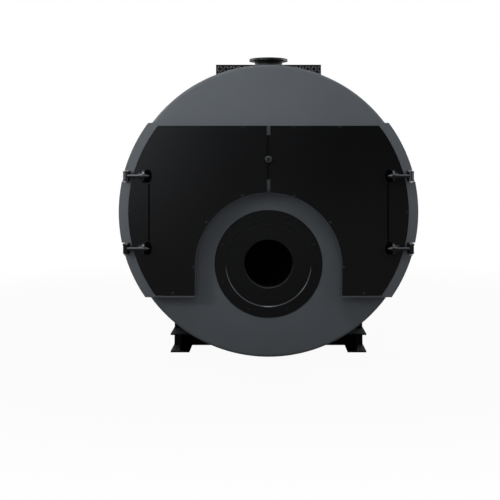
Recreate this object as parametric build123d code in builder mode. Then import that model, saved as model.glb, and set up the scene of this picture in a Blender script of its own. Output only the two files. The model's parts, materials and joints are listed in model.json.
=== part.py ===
"""Large fire-tube hot-water boiler with two hinged front doors.

A lying round vessel stands on two long beams. Its flat front carries the burner
plate, low in the middle, and two half-round doors that open outwards round it.
Behind the doors lie the reversing chamber and the tube sheet with the smoke tubes.
The flue gas collector is on the rear, and the nozzles, the manhole and a walkway
of tread plate are on top.

Everything is in millimetres. +Z is up, the front looks along -Y, +X is to the
right seen from the front. The origin is on the floor in the middle of the bounding
box. Depths are counted from the flat front face towards the rear.
"""

from build123d import *
import os
from math import radians, sin, sqrt

os.makedirs("parts", exist_ok=True)

# Shell and front
shell_radius = 1600.0
shell_floor_gap = 100.0
shell_length = 6000.0
head_thickness = 60.0
head_rim_radius = 35.0
insulation_thickness = 100.0
casing_courses = 4

# Furnace and burner plate
furnace_drop = 578.0
furnace_bore_radius = 545.0
furnace_wall = 15.0
furnace_depth = 1500.0
burner_plate_radius = 585.0
burner_plate_thickness = 14.0
burner_plate_bevel = 3.0
burner_bore_radius = 267.0
burner_step_inset = 115.0
burner_step_width = 40.0
burner_step_depth = 6.0
burner_bolts = 8
burner_bolt_edge = 45.0
burner_bolt_radius = 9.0
throat_straight = 130.0

# Front reversing chamber and tube sheet
chamber_wall = 60.0
chamber_door_lap = 93.0
chamber_sill_lap = 50.0
chamber_depth = 450.0
arch_wall_thickness = 68.0
tube_sheet_thickness = 28.0
water_gap = 160.0
tube_hole_radius = 40.0
tube_pitch = 172.0
tube_edge_room = 62.0

# Doors
door_depth = 227.0
door_top_inset = 647.0
door_below_furnace = 332.0
door_arch_radius = 782.0
door_gap = 38.0
door_front_plate = 10.0
door_wall = 40.0
door_rim_clearance = 22.0
door_running_clearance = 5.0
door_lap_depth = 40.0
door_post_room = 45.0
panel_thickness = 6.0
panel_rim = 102.0
panel_top_lip = 31.0
panel_bottom_lip = 17.0
panel_arch_margin = 4.0
fit_gap = 0.3

# Door hinges
hinge_inset = 92.0
hinge_disc_clearance = 7.0
hinge_height = 385.0
hinge_pin_radius = 12.0
hinge_pin_head_radius = 18.0
hinge_pin_head_height = 8.0
hinge_eye_radius = 24.0
hinge_eye_height = 72.0
hinge_lug_thickness = 16.0
hinge_bracket_inside = 28.0
hinge_bracket_outside = 37.0
hinge_notch_clearance = 6.0
hinge_bar_radius = 22.0
hinge_bar_length = 200.0
hinge_disc_radius = 70.0
hinge_disc_thickness = 24.0
hinge_collar_radius = 34.0
hinge_collar_length = 34.0
hinge_nose_radius = 27.0
hinge_nose_length = 44.0
hinge_nose_taper = 24.0
hinge_foot_width = 56.0
hinge_foot_height = 56.0
strip_inset = 231.0
strip_rim = 6.0
strip_end_room = 15.0
strip_thickness = 3.0

# Centre post and its knob
post_width = 60.0
post_clearance = 12.0
post_end_room = 26.0
knob_below_top = 391.0
knob_radius = 38.0
knob_length = 28.0
knob_stand_off = 8.0
knob_stud_radius = 10.0
knob_notch_clearance = 7.0

# Rear end
collector_width = 1700.0
collector_height = 1050.0
collector_rise = 420.0
collector_depth = 420.0
cover_width = 430.0
collector_corner = 120.0
collector_frame_width = 60.0
collector_frame_thickness = 12.0
cover_corner = 40.0
cover_height = 620.0
cover_thickness = 40.0
flue_radius = 300.0
flue_wall = 6.0
flue_length = 180.0
flue_flange_width = 60.0
flue_flange_thickness = 12.0
flue_bolt_offset = 35.0
flue_bolts = 16
flue_bolt_radius = 7.0
end_cover_radius = 330.0
end_cover_ring_radius = 380.0
end_cover_ring_length = 60.0
end_cover_thickness = 32.0
drain_pipe_radius = 30.15
drain_pipe_wall = 2.85
drain_flange_radius = 82.5
drain_flange_thickness = 18.0
drain_length = 120.0
drain_edge = 270.0

# Nozzles, manhole and lifting lugs on top
nozzle_rise = 173.0
nozzle_pipe_radius = 161.95
nozzle_pipe_wall = 7.1
nozzle_hub_width = 11.05
nozzle_hub_length = 38.0
nozzle_face_width = 23.05
nozzle_face_height = 4.0
nozzle_flange_width = 68.05
nozzle_flange_thickness = 24.0
nozzle_bolt_offset = 43.05
nozzle_bolts = 12
nozzle_bolt_radius = 13.0
nozzle_floor = 3.0
flow_nozzle_depth = 1000.0
return_behind_flow = 2900.0
safety_behind_flow = 1050.0
safety_pipe_radius = 57.15
safety_pipe_wall = 3.6
safety_hub_width = 8.35
safety_hub_length = 28.0
safety_face_width = 21.85
safety_flange_width = 52.85
safety_flange_thickness = 17.0
safety_bolt_offset = 32.85
safety_bolts = 8
safety_bolt_radius = 9.0
manhole_behind_flow = 1900.0
manhole_radius = 250.0
manhole_cover_radius = 290.0
manhole_neck_rise = 100.0
manhole_flange_thickness = 24.0
manhole_cover_thickness = 30.0
lug_behind_flow = 500.0
lug_rear_inset = 750.0
lug_length = 220.0
lug_thickness = 30.0
lug_height = 190.0
lug_corner = 75.0
lug_hole_radius = 35.0
lug_hole_drop = 72.0

# Walkway on top
walkway_width = 1204.0
walkway_rise = 52.0
walkway_front = 500.0
walkway_joint = 2480.0
walkway_past_return = 700.0
walkway_plate = 8.0
walkway_hole_room = 15.0

# Base
beam_height = 220.0
beam_width = 220.0
beam_flange = 16.0
beam_web = 9.5
beam_root_radius = 18.0
beam_inset = 560.0
beam_front = 750.0
beam_rear_inset = 400.0
stiffener_thickness = 12.0
stiffener_inset = 6.0
cross_member_front = 1060.0
cross_member_rear_inset = 700.0
cross_member_clearance = 4.0
cross_member_width = 96.0
cross_member_flange = 8.0
cross_member_web = 6.0
saddle_web_thickness = 12.0
saddle_front = 1140.0
saddle_rear_inset = 800.0
saddle_thickness = 24.0
saddle_width = 200.0
saddle_rib_length = 180.0
saddle_rib_thickness = 16.0

# Places and sizes worked out from these
axis_height = shell_floor_gap + shell_radius
door_top = shell_radius - door_top_inset
door_bottom = -furnace_drop - door_below_furnace
panel_front = door_depth + panel_thickness
lap_back = door_depth - door_lap_depth
hinge_out = panel_front + hinge_disc_clearance + hinge_disc_radius
hinge_reach = hinge_out + hinge_disc_radius
rear_reach = shell_length + collector_depth + flue_length
overall_length = hinge_reach + rear_reach
front_y = hinge_reach - overall_length / 2
crown = axis_height + shell_radius
vessel_radius = shell_radius - insulation_thickness
chamber_radius = vessel_radius - chamber_wall
chamber_top = door_top - chamber_door_lap
chamber_bottom = door_bottom + chamber_sill_lap
arch_wall_radius = door_arch_radius + arch_wall_thickness
throat_cone_front = head_thickness + throat_straight
casing_length = shell_length - 2 * head_thickness
course_length = casing_length / casing_courses
furnace_height = axis_height - furnace_drop
furnace_tube_radius = furnace_bore_radius + furnace_wall
tube_sheet_back = chamber_depth + tube_sheet_thickness
jacket_front = tube_sheet_back + water_gap
jacket_back = shell_length - head_thickness
panel_radius = shell_radius - panel_rim
hinge_x = shell_radius - hinge_inset
hinge_disc_x = hinge_x - hinge_bar_length
strip_inner_x = hinge_x - strip_inset
strip_half = hinge_height - hinge_disc_radius - strip_end_room
knob_rise = door_top - knob_below_top
knob_notch_radius = knob_radius + knob_notch_clearance
post_reach = lap_back - post_clearance
door_rear_setback = post_width / 2 + door_post_room
burner_bolt_circle_radius = burner_plate_radius - burner_bolt_edge
burner_step_outer = burner_plate_radius - burner_step_inset
burner_step_inner = burner_step_outer - burner_step_width
flue_flange_radius = flue_radius + flue_flange_width
flue_bolt_circle_radius = flue_radius + flue_bolt_offset
drain_bore_radius = drain_pipe_radius - drain_pipe_wall
drain_height = axis_height - shell_radius + drain_edge
nozzle_flange_radius = nozzle_pipe_radius + nozzle_flange_width
safety_flange_radius = safety_pipe_radius + safety_flange_width
return_nozzle_depth = flow_nozzle_depth + return_behind_flow
safety_nozzle_depth = flow_nozzle_depth + safety_behind_flow
manhole_depth = flow_nozzle_depth + manhole_behind_flow
lug_depths = (flow_nozzle_depth + lug_behind_flow, shell_length - lug_rear_inset)
walkway_rear = return_nozzle_depth + walkway_past_return
beam_x = shell_radius - beam_inset
beam_rear = shell_length - beam_rear_inset
cross_member_bottom = beam_flange + beam_root_radius
cross_member_height = shell_floor_gap - cross_member_clearance - cross_member_bottom
cross_member_depths = (cross_member_front, shell_length - cross_member_rear_inset)
saddle_rear = shell_length - saddle_rear_inset
saddle_depths = (saddle_front, (saddle_front + saddle_rear) / 2, saddle_rear)
nozzle_top = crown + nozzle_rise
walkway_top = crown + walkway_rise
manhole_neck_top = crown + manhole_neck_rise


def across(depth, height=axis_height):
    """Plane square to the boiler's axis: local x is +X, local y is +Z, normal to the front."""
    return Plane(origin=(0, front_y + depth, height), x_dir=(1, 0, 0), z_dir=(0, -1, 0))


def level(height, x=0.0, depth=0.0):
    """Level plane at a height above the floor, with its normal up."""
    return Plane(origin=(x, front_y + depth, height), x_dir=(1, 0, 0), z_dir=(0, 0, 1))


def write(piece, name):
    """Labels a finished piece and writes it as the node of that name."""
    piece.part.label = name
    export_step(piece.part, f"parts/{name}.step")


def cut_arch(radius):
    """Takes an arch round the furnace, open at its foot, out of the sketch being drawn."""
    foot = 2 * shell_radius
    with Locations((0, -furnace_drop)):
        Circle(radius, mode=Mode.SUBTRACT)
        Rectangle(2 * radius, foot, align=(Align.CENTER, Align.MAX), mode=Mode.SUBTRACT)


def keep_band(radius, bottom, top):
    """Draws the part of a disc that lies between two levels."""
    Circle(radius)
    with Locations((0, (bottom + top) / 2)):
        Rectangle(2 * radius, top - bottom, mode=Mode.INTERSECT)


def draw_chamber():
    """Draws the mouth of the reversing chamber, in its two halves beside the centre post."""
    keep_band(chamber_radius, chamber_bottom, chamber_top)
    cut_arch(arch_wall_radius)
    Rectangle(post_width, 2 * shell_radius, mode=Mode.SUBTRACT)


def cut_throat_cone():
    """Takes the throat's cone, from the burner bore to the furnace, out of the part being built."""
    with Locations((0, front_y + (throat_cone_front + chamber_depth) / 2, furnace_height)):
        Cone(
            furnace_bore_radius,
            burner_bore_radius,
            chamber_depth - throat_cone_front,
            rotation=(90, 0, 0),
            mode=Mode.SUBTRACT,
        )


# Front head: a flat insulated disc with a rounded rim and the chamber's two mouths
with BuildPart() as front_head:
    with BuildSketch(across(head_thickness)):
        Circle(shell_radius)
    extrude(amount=head_thickness)
    rim = front_head.edges().filter_by(GeomType.CIRCLE).sort_by(Axis.Y)[0]
    fillet(rim, head_rim_radius)
    with BuildSketch(across(head_thickness)):
        draw_chamber()
    extrude(amount=head_thickness, mode=Mode.SUBTRACT)
    with BuildSketch(across(head_thickness, furnace_height)):
        Circle(burner_bore_radius)
    extrude(amount=head_thickness, mode=Mode.SUBTRACT)
write(front_head, "front_head")

# Burner plate: a ring with a turned step and its bolt holes
with BuildPart() as burner_plate:
    with BuildSketch(across(0, furnace_height)):
        Circle(burner_plate_radius)
        Circle(burner_bore_radius, mode=Mode.SUBTRACT)
        with PolarLocations(burner_bolt_circle_radius, burner_bolts, start_angle=180 / burner_bolts):
            Circle(burner_bolt_radius, mode=Mode.SUBTRACT)
    extrude(amount=burner_plate_thickness)
    with BuildSketch(across(-burner_plate_thickness, furnace_height)):
        Circle(burner_step_outer)
        Circle(burner_step_inner, mode=Mode.SUBTRACT)
    extrude(amount=-burner_step_depth, mode=Mode.SUBTRACT)
    front_edges = burner_plate.edges().filter_by(GeomType.CIRCLE).group_by(Axis.Y)[0]
    chamfer(front_edges.sort_by(SortBy.RADIUS)[-1], burner_plate_bevel)
write(burner_plate, "burner_plate")

# Burner throat: the refractory block inside the arch, which widens to the furnace
with BuildPart() as burner_throat:
    with BuildSketch(across(chamber_depth)):
        with Locations((0, -furnace_drop)):
            Circle(arch_wall_radius)
            Rectangle(2 * arch_wall_radius, furnace_drop + 2 * shell_radius, align=(Align.CENTER, Align.MAX))
        keep = -chamber_bottom + arch_wall_radius - furnace_drop
        with Locations((0, chamber_bottom)):
            Rectangle(2 * arch_wall_radius, keep, align=(Align.CENTER, Align.MIN), mode=Mode.INTERSECT)
    extrude(amount=chamber_depth - head_thickness)
    with BuildSketch(across(throat_cone_front, furnace_height)):
        Circle(burner_bore_radius)
    extrude(amount=throat_straight, mode=Mode.SUBTRACT)
    cut_throat_cone()
write(burner_throat, "burner_throat")

# Centre post between the doors, and the knob on its stud
post_bottom = door_arch_radius - furnace_drop + post_end_room
post_top = door_top - post_end_room
with BuildPart() as centre_post:
    with BuildSketch(across(0)):
        with Locations((0, post_bottom)):
            Rectangle(post_width, post_top - post_bottom, align=(Align.CENTER, Align.MIN))
    extrude(amount=post_reach)
write(centre_post, "centre_post")

knob_back = panel_front + knob_stand_off
with BuildPart() as door_knob:
    with BuildSketch(across(-post_reach, axis_height + knob_rise)):
        Circle(knob_stud_radius)
    extrude(amount=knob_back - post_reach)
    with BuildSketch(across(-knob_back, axis_height + knob_rise)):
        Circle(knob_radius)
    extrude(amount=knob_length)
    knob_edge = door_knob.edges().filter_by(GeomType.CIRCLE).sort_by(Axis.Y)[0]
    fillet(knob_edge, knob_length / 3)
write(door_knob, "door_knob")

# Walls of the reversing chamber: crown, sill and the two sides
with BuildPart() as chamber_crown:
    with BuildSketch(across(chamber_depth)):
        keep_band(vessel_radius, chamber_top, vessel_radius)
    extrude(amount=chamber_depth - head_thickness)
write(chamber_crown, "chamber_crown")

with BuildPart() as chamber_sill:
    with BuildSketch(across(chamber_depth)):
        keep_band(vessel_radius, -vessel_radius, chamber_bottom)
    extrude(amount=chamber_depth - head_thickness)
    cut_throat_cone()
write(chamber_sill, "chamber_sill")

for side, x_sign in (("left", -1), ("right", 1)):
    with BuildPart() as chamber_side:
        with BuildSketch(across(chamber_depth)):
            keep_band(vessel_radius, chamber_bottom, chamber_top)
            Circle(chamber_radius, mode=Mode.SUBTRACT)
            with Locations((x_sign * shell_radius / 2, 0)):
                Rectangle(shell_radius, 2 * shell_radius, mode=Mode.INTERSECT)
        extrude(amount=chamber_depth - head_thickness)
    write(chamber_side, f"chamber_side_{side}")

with BuildPart() as chamber_divider:
    with BuildSketch(across(chamber_depth)):
        with Locations((0, arch_wall_radius - furnace_drop)):
            divider_height = chamber_top - arch_wall_radius + furnace_drop
            Rectangle(post_width, divider_height, align=(Align.CENTER, Align.MIN))
    extrude(amount=chamber_depth - head_thickness)
write(chamber_divider, "chamber_divider")


def tube_places():
    """Lists the tube holes' centres: a triangular layout kept clear of the chamber's walls."""
    row_step = tube_pitch * sin(radians(60))
    room = tube_hole_radius + tube_edge_room
    rows = int((chamber_top - chamber_bottom - 2 * room) / row_step)
    places = []
    for row in range(rows + 1):
        z = chamber_top - room - row * row_step
        column_shift = tube_pitch / 2 if row % 2 else 0.0
        x = post_width / 2 + room + column_shift
        while x * x + z * z < (chamber_radius - room) ** 2:
            above_arch = x * x + (z + furnace_drop) ** 2 > (arch_wall_radius + room) ** 2
            beside_arch = z > -furnace_drop or x > arch_wall_radius + room
            if above_arch and beside_arch:
                places.append((x, z))
            x += tube_pitch
    return places


tube_centres = tube_places()

# Tube sheet with the smoke tubes' holes and the furnace's hole
with BuildPart() as tube_sheet:
    with BuildSketch(across(tube_sheet_back)):
        Circle(vessel_radius)
        with Locations((0, -furnace_drop)):
            Circle(furnace_tube_radius, mode=Mode.SUBTRACT)
        with Locations(*[(x_sign * x, z) for x, z in tube_centres for x_sign in (-1, 1)]):
            Circle(tube_hole_radius, mode=Mode.SUBTRACT)
    extrude(amount=tube_sheet_thickness)
write(tube_sheet, "tube_sheet")

# Furnace tube
with BuildPart() as furnace_tube:
    with BuildSketch(across(furnace_depth, furnace_height)):
        Circle(furnace_tube_radius)
        Circle(furnace_bore_radius, mode=Mode.SUBTRACT)
    extrude(amount=furnace_depth - chamber_depth)
write(furnace_tube, "furnace_tube")

# Pressure vessel behind the tube sheet, in two courses
with BuildPart() as vessel_front:
    with BuildSketch(across(furnace_depth)):
        Circle(vessel_radius)
        with Locations((0, -furnace_drop)):
            Circle(furnace_tube_radius, mode=Mode.SUBTRACT)
    extrude(amount=furnace_depth - jacket_front)
write(vessel_front, "vessel_front_course")

with BuildPart() as vessel_rear:
    with BuildSketch(across(jacket_back)):
        Circle(vessel_radius)
    extrude(amount=jacket_back - furnace_depth)
write(vessel_rear, "vessel_rear_course")

# Insulated casing round the vessel, in courses
for course in range(casing_courses):
    course_back = head_thickness + (course + 1) * course_length
    with BuildPart() as casing:
        with BuildSketch(across(course_back)):
            Circle(shell_radius)
            Circle(vessel_radius, mode=Mode.SUBTRACT)
        extrude(amount=course_length)
    write(casing, f"casing_course_{course + 1}")

# Rear head
with BuildPart() as rear_head:
    with BuildSketch(across(shell_length)):
        Circle(shell_radius)
    extrude(amount=head_thickness)
    rear_rim = rear_head.edges().filter_by(GeomType.CIRCLE).sort_by(Axis.Y)[-1]
    fillet(rear_rim, head_rim_radius)
write(rear_head, "rear_head")

# Flue gas collector on the rear head, with its two cleaning covers and the outlet
collector_back = shell_length + collector_depth
with BuildPart() as flue_collector:
    with BuildSketch(across(collector_back, axis_height + collector_rise)):
        RectangleRounded(collector_width, collector_height, collector_corner)
    extrude(amount=collector_depth)
    frame_back = shell_length + collector_frame_thickness
    with BuildSketch(across(frame_back, axis_height + collector_rise)):
        RectangleRounded(
            collector_width + 2 * collector_frame_width,
            collector_height + 2 * collector_frame_width,
            collector_corner + collector_frame_width,
        )
    extrude(amount=collector_frame_thickness)
write(flue_collector, "flue_collector")

cover_x = (collector_width + 2 * flue_flange_radius) / 4
with BuildPart() as collector_covers:
    with BuildSketch(across(collector_back + cover_thickness, axis_height + collector_rise)):
        with Locations((-cover_x, 0), (cover_x, 0)):
            RectangleRounded(cover_width, cover_height, cover_corner)
    extrude(amount=cover_thickness)
write(collector_covers, "collector_covers")

flue_back = collector_back + flue_length
with BuildPart() as flue_outlet:
    with BuildSketch(across(flue_back, axis_height + collector_rise)):
        Circle(flue_radius + flue_wall)
        Circle(flue_radius, mode=Mode.SUBTRACT)
    extrude(amount=flue_length)
    with BuildSketch(across(flue_back, axis_height + collector_rise)):
        Circle(flue_flange_radius)
        Circle(flue_radius, mode=Mode.SUBTRACT)
    extrude(amount=flue_flange_thickness)
    with BuildSketch(across(flue_back, axis_height + collector_rise)):
        with PolarLocations(flue_bolt_circle_radius, flue_bolts, start_angle=180 / flue_bolts):
            Circle(flue_bolt_radius)
    extrude(amount=flue_flange_thickness, mode=Mode.SUBTRACT)
write(flue_outlet, "flue_outlet")

# Cover of the furnace's rear end
with BuildPart() as furnace_end_cover:
    with BuildSketch(across(shell_length + end_cover_ring_length, furnace_height)):
        Circle(end_cover_radius)
    extrude(amount=end_cover_ring_length)
    with BuildSketch(across(shell_length + end_cover_ring_length + end_cover_thickness, furnace_height)):
        Circle(end_cover_ring_radius)
    extrude(amount=end_cover_thickness)
write(furnace_end_cover, "furnace_end_cover")

# Drain nozzle, low on the rear head
with BuildPart() as drain_nozzle:
    with BuildSketch(across(shell_length + drain_length, drain_height)):
        Circle(drain_pipe_radius)
    extrude(amount=drain_length)
    with BuildSketch(across(shell_length + drain_length, drain_height)):
        Circle(drain_flange_radius)
    extrude(amount=drain_flange_thickness)
    with BuildSketch(across(shell_length + drain_length, drain_height)):
        Circle(drain_bore_radius)
    extrude(amount=drain_length, mode=Mode.SUBTRACT)
write(drain_nozzle, "drain_nozzle")


def cut_casing_round():
    """Takes the round casing out of the part being built, so that it seats on the casing."""
    with Locations((0, front_y + shell_length / 2, axis_height)):
        Cylinder(shell_radius, shell_length, rotation=(90, 0, 0), mode=Mode.SUBTRACT)


def nozzle_on_top(depth, pipe, wall, hub, hub_length, flange, flange_thickness, face, circle, bolts, hole):
    """Builds a weld-neck nozzle that stands on the casing's crown."""
    foot = crown - shell_radius + sqrt(shell_radius**2 - pipe**2)
    floor = crown + nozzle_floor
    bore = pipe - wall
    under_flange = nozzle_top - nozzle_face_height - flange_thickness
    with BuildPart() as nozzle:
        with BuildSketch(Plane(origin=(0, front_y + depth, 0), x_dir=(1, 0, 0), z_dir=(0, -1, 0))):
            with BuildLine():
                Polyline(
                    (0, floor),
                    (0, foot),
                    (pipe, foot),
                    (pipe, under_flange - hub_length),
                    (hub, under_flange),
                    (flange, under_flange),
                    (flange, nozzle_top - nozzle_face_height),
                    (face, nozzle_top - nozzle_face_height),
                    (face, nozzle_top),
                    (bore, nozzle_top),
                    (bore, floor),
                    close=True,
                )
            make_face()
        revolve(axis=Axis((0, front_y + depth, 0), (0, 0, 1)))
        with BuildSketch(level(nozzle_top, depth=depth)):
            with PolarLocations(circle, bolts, start_angle=180 / bolts):
                Circle(hole)
        extrude(amount=-flange_thickness - nozzle_face_height, mode=Mode.SUBTRACT)
        cut_casing_round()
    return nozzle


for name, depth in (("flow_nozzle", flow_nozzle_depth), ("return_nozzle", return_nozzle_depth)):
    nozzle = nozzle_on_top(
        depth,
        nozzle_pipe_radius,
        nozzle_pipe_wall,
        nozzle_pipe_radius + nozzle_hub_width,
        nozzle_hub_length,
        nozzle_flange_radius,
        nozzle_flange_thickness,
        nozzle_pipe_radius + nozzle_face_width,
        nozzle_pipe_radius + nozzle_bolt_offset,
        nozzle_bolts,
        nozzle_bolt_radius,
    )
    write(nozzle, name)

safety_nozzle = nozzle_on_top(
    safety_nozzle_depth,
    safety_pipe_radius,
    safety_pipe_wall,
    safety_pipe_radius + safety_hub_width,
    safety_hub_length,
    safety_flange_radius,
    safety_flange_thickness,
    safety_pipe_radius + safety_face_width,
    safety_pipe_radius + safety_bolt_offset,
    safety_bolts,
    safety_bolt_radius,
)
write(safety_nozzle, "safety_nozzle")

# Manhole neck and its cover
manhole_drop = shell_radius - sqrt(shell_radius**2 - manhole_radius**2)
manhole_foot = crown - manhole_drop
with BuildPart() as manhole_neck:
    with BuildSketch(level(manhole_foot, depth=manhole_depth)):
        Circle(manhole_radius)
    extrude(amount=manhole_neck_top - manhole_foot)
    with BuildSketch(level(manhole_neck_top, depth=manhole_depth)):
        Circle(manhole_cover_radius)
    extrude(amount=-manhole_flange_thickness)
    cut_casing_round()
write(manhole_neck, "manhole_neck")

with BuildPart() as manhole_cover:
    with BuildSketch(level(manhole_neck_top, depth=manhole_depth)):
        Circle(manhole_cover_radius)
    extrude(amount=manhole_cover_thickness)
write(manhole_cover, "manhole_cover")

# Lifting lugs on the crown
with BuildPart() as lifting_lugs:
    for depth in lug_depths:
        lug_plane = Plane(
            origin=(-lug_thickness / 2, front_y + depth, crown),
            x_dir=(0, 1, 0),
            z_dir=(1, 0, 0),
        )
        with BuildSketch(lug_plane):
            lug_foot = Rectangle(lug_length, lug_height, align=(Align.CENTER, Align.MIN))
            fillet(lug_foot.vertices().group_by(Axis.Y)[-1], lug_corner)
            with Locations((0, lug_height - lug_hole_drop)):
                Circle(lug_hole_radius, mode=Mode.SUBTRACT)
        extrude(amount=lug_thickness)
write(lifting_lugs, "lifting_lugs")

# Walkway: end panels, deck plates with room for the nozzles, side skirts
skirt_x = walkway_width / 2
deck_bottom = walkway_top - walkway_plate
end_panels = (
    ("walkway_front_panel", walkway_front, walkway_top),
    ("walkway_rear_panel", walkway_rear - walkway_plate, deck_bottom),
)
for name, panel_depth, panel_rise in end_panels:
    with BuildPart() as end_panel:
        with BuildSketch(across(panel_depth + walkway_plate)):
            with Locations((0, panel_rise - axis_height)):
                Rectangle(walkway_width, shell_radius, align=(Align.CENTER, Align.MAX))
            Circle(shell_radius, mode=Mode.SUBTRACT)
        extrude(amount=walkway_plate)
    write(end_panel, name)

deck_cuts = (
    (flow_nozzle_depth, nozzle_flange_radius + walkway_hole_room),
    (return_nozzle_depth, nozzle_flange_radius + walkway_hole_room),
    (safety_nozzle_depth, safety_flange_radius + walkway_hole_room),
    (manhole_depth, manhole_cover_radius + walkway_hole_room),
)
deck_spans = (
    ("walkway_deck_front", walkway_front + walkway_plate, walkway_joint),
    ("walkway_deck_rear", walkway_joint, walkway_rear),
)
for name, deck_start, deck_end in deck_spans:
    with BuildPart() as deck:
        with BuildSketch(level(deck_bottom, depth=deck_start)):
            Rectangle(walkway_width, deck_end - deck_start, align=(Align.CENTER, Align.MIN))
            for cut_depth, cut_radius in deck_cuts:
                with Locations((0, cut_depth - deck_start)):
                    Circle(cut_radius, mode=Mode.SUBTRACT)
            for lug_place in lug_depths:
                with Locations((0, lug_place - deck_start)):
                    Rectangle(
                        lug_thickness + 2 * walkway_hole_room,
                        lug_length + 2 * walkway_hole_room,
                        mode=Mode.SUBTRACT,
                    )
        extrude(amount=walkway_plate)
    write(deck, name)

with BuildPart() as walkway_skirts:
    for x_sign in (-1, 1):
        with BuildSketch(across(walkway_rear - walkway_plate)):
            with Locations((x_sign * (skirt_x - walkway_plate / 2), deck_bottom - axis_height)):
                Rectangle(walkway_plate, shell_radius, align=(Align.CENTER, Align.MAX))
            Circle(shell_radius, mode=Mode.SUBTRACT)
            with Locations((0, shell_radius)):
                Rectangle(2 * walkway_width, 2 * shell_radius, mode=Mode.INTERSECT)
        extrude(amount=walkway_rear - walkway_front - 2 * walkway_plate)
write(walkway_skirts, "walkway_skirts")

# Base beams
for side, x_sign in (("left", -1), ("right", 1)):
    with BuildPart() as base_beam:
        with BuildSketch(across(beam_rear, 0)) as beam_profile:
            with Locations((x_sign * beam_x, 0)):
                Rectangle(beam_width, beam_flange, align=(Align.CENTER, Align.MIN))
            with Locations((x_sign * beam_x, beam_height - beam_flange)):
                Rectangle(beam_width, beam_flange, align=(Align.CENTER, Align.MIN))
            with Locations((x_sign * beam_x, 0)):
                Rectangle(beam_web, beam_height, align=(Align.CENTER, Align.MIN))
            root_corners = [
                corner
                for corner in beam_profile.vertices()
                if abs(corner.X - x_sign * beam_x) < beam_web
            ]
            fillet(root_corners, beam_root_radius)
        extrude(amount=beam_rear - beam_front)
        for depth in saddle_depths:
            with BuildSketch(across(depth + stiffener_thickness / 2, 0)):
                with Locations((x_sign * beam_x, beam_flange)):
                    Rectangle(
                        beam_width - 2 * stiffener_inset,
                        beam_height - 2 * beam_flange,
                        align=(Align.CENTER, Align.MIN),
                    )
            extrude(amount=stiffener_thickness)
    write(base_beam, f"base_beam_{side}")

# Cross members between the beams' webs, each with a plate that reaches up to the casing
cross_member_length = 2 * beam_x - beam_web
with BuildPart() as cross_members:
    for depth in cross_member_depths:
        member_plane = Plane(
            origin=(-cross_member_length / 2, front_y + depth, cross_member_bottom),
            x_dir=(0, 1, 0),
            z_dir=(1, 0, 0),
        )
        with BuildSketch(member_plane):
            Rectangle(cross_member_width, cross_member_flange, align=(Align.CENTER, Align.MIN))
            with Locations((0, cross_member_height - cross_member_flange)):
                Rectangle(cross_member_width, cross_member_flange, align=(Align.CENTER, Align.MIN))
            Rectangle(cross_member_web, cross_member_height, align=(Align.CENTER, Align.MIN))
        extrude(amount=cross_member_length)
        with BuildSketch(across(depth + saddle_web_thickness / 2, 0)):
            with Locations((0, cross_member_bottom)):
                Rectangle(
                    cross_member_length,
                    beam_height - beam_flange - beam_root_radius - cross_member_bottom,
                    align=(Align.CENTER, Align.MIN),
                )
        extrude(amount=saddle_web_thickness)
    cut_casing_round()
write(cross_members, "cross_members")

# Saddles: a plate with a rib on each side, from the beams up to the casing
with BuildPart() as saddles:
    for depth in saddle_depths:
        for x_sign in (-1, 1):
            with BuildSketch(level(beam_height, x=x_sign * beam_x, depth=depth)):
                Rectangle(saddle_width, saddle_thickness)
                Rectangle(saddle_rib_thickness, saddle_rib_length)
            extrude(amount=axis_height - beam_height)
    cut_casing_round()
write(saddles, "saddles")

# Fixed hinge brackets: a block through the door's notch that ends in a fork
pin_half = hinge_eye_height / 2 + fit_gap
fork_half = pin_half + hinge_lug_thickness
with BuildPart() as hinge_brackets:
    for x_sign in (-1, 1):
        for z_sign in (-1, 1):
            centre = axis_height + z_sign * hinge_height
            with BuildSketch(level(centre - fork_half, x=x_sign * hinge_x, depth=-hinge_out)):
                Circle(hinge_bracket_inside)
                with Locations((x_sign * (hinge_bracket_outside - hinge_bracket_inside) / 2, 0)):
                    Rectangle(
                        hinge_bracket_outside + hinge_bracket_inside,
                        hinge_out,
                        align=(Align.CENTER, Align.MIN),
                    )
                Circle(hinge_pin_radius + fit_gap / 2, mode=Mode.SUBTRACT)
            extrude(amount=2 * fork_half)
            with BuildSketch(level(centre - pin_half, x=x_sign * hinge_x, depth=-hinge_out)):
                Rectangle(
                    4 * hinge_bracket_outside,
                    2 * (hinge_eye_radius + hinge_notch_clearance),
                )
            extrude(amount=2 * pin_half, mode=Mode.SUBTRACT)
    with BuildSketch(across(0)):
        Circle(shell_radius)
    extrude(amount=2 * hinge_out, mode=Mode.INTERSECT)
write(hinge_brackets, "hinge_brackets")

with BuildPart() as hinge_pins:
    for x_sign in (-1, 1):
        for z_sign in (-1, 1):
            centre = axis_height + z_sign * hinge_height
            with BuildSketch(level(centre - fork_half, x=x_sign * hinge_x, depth=-hinge_out)):
                Circle(hinge_pin_radius)
            extrude(amount=2 * fork_half)
            with BuildSketch(level(centre + fork_half, x=x_sign * hinge_x, depth=-hinge_out)):
                Circle(hinge_pin_head_radius)
            extrude(amount=hinge_pin_head_height)
write(hinge_pins, "hinge_pins")


def draw_door(x_sign, radius, bottom, top, meeting_x, arch_radius):
    """Draws one door's outline: half a disc between two levels, less the arch."""
    keep_band(radius, bottom, top)
    with Locations((x_sign * (meeting_x + shell_radius), 0)):
        Rectangle(2 * shell_radius, 2 * shell_radius, mode=Mode.INTERSECT)
    cut_arch(arch_radius)


def cut_knob_notch():
    """Takes the knob's half-round notch out of the sketch being drawn."""
    with Locations((0, knob_rise)):
        Circle(knob_notch_radius, mode=Mode.SUBTRACT)


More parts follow.
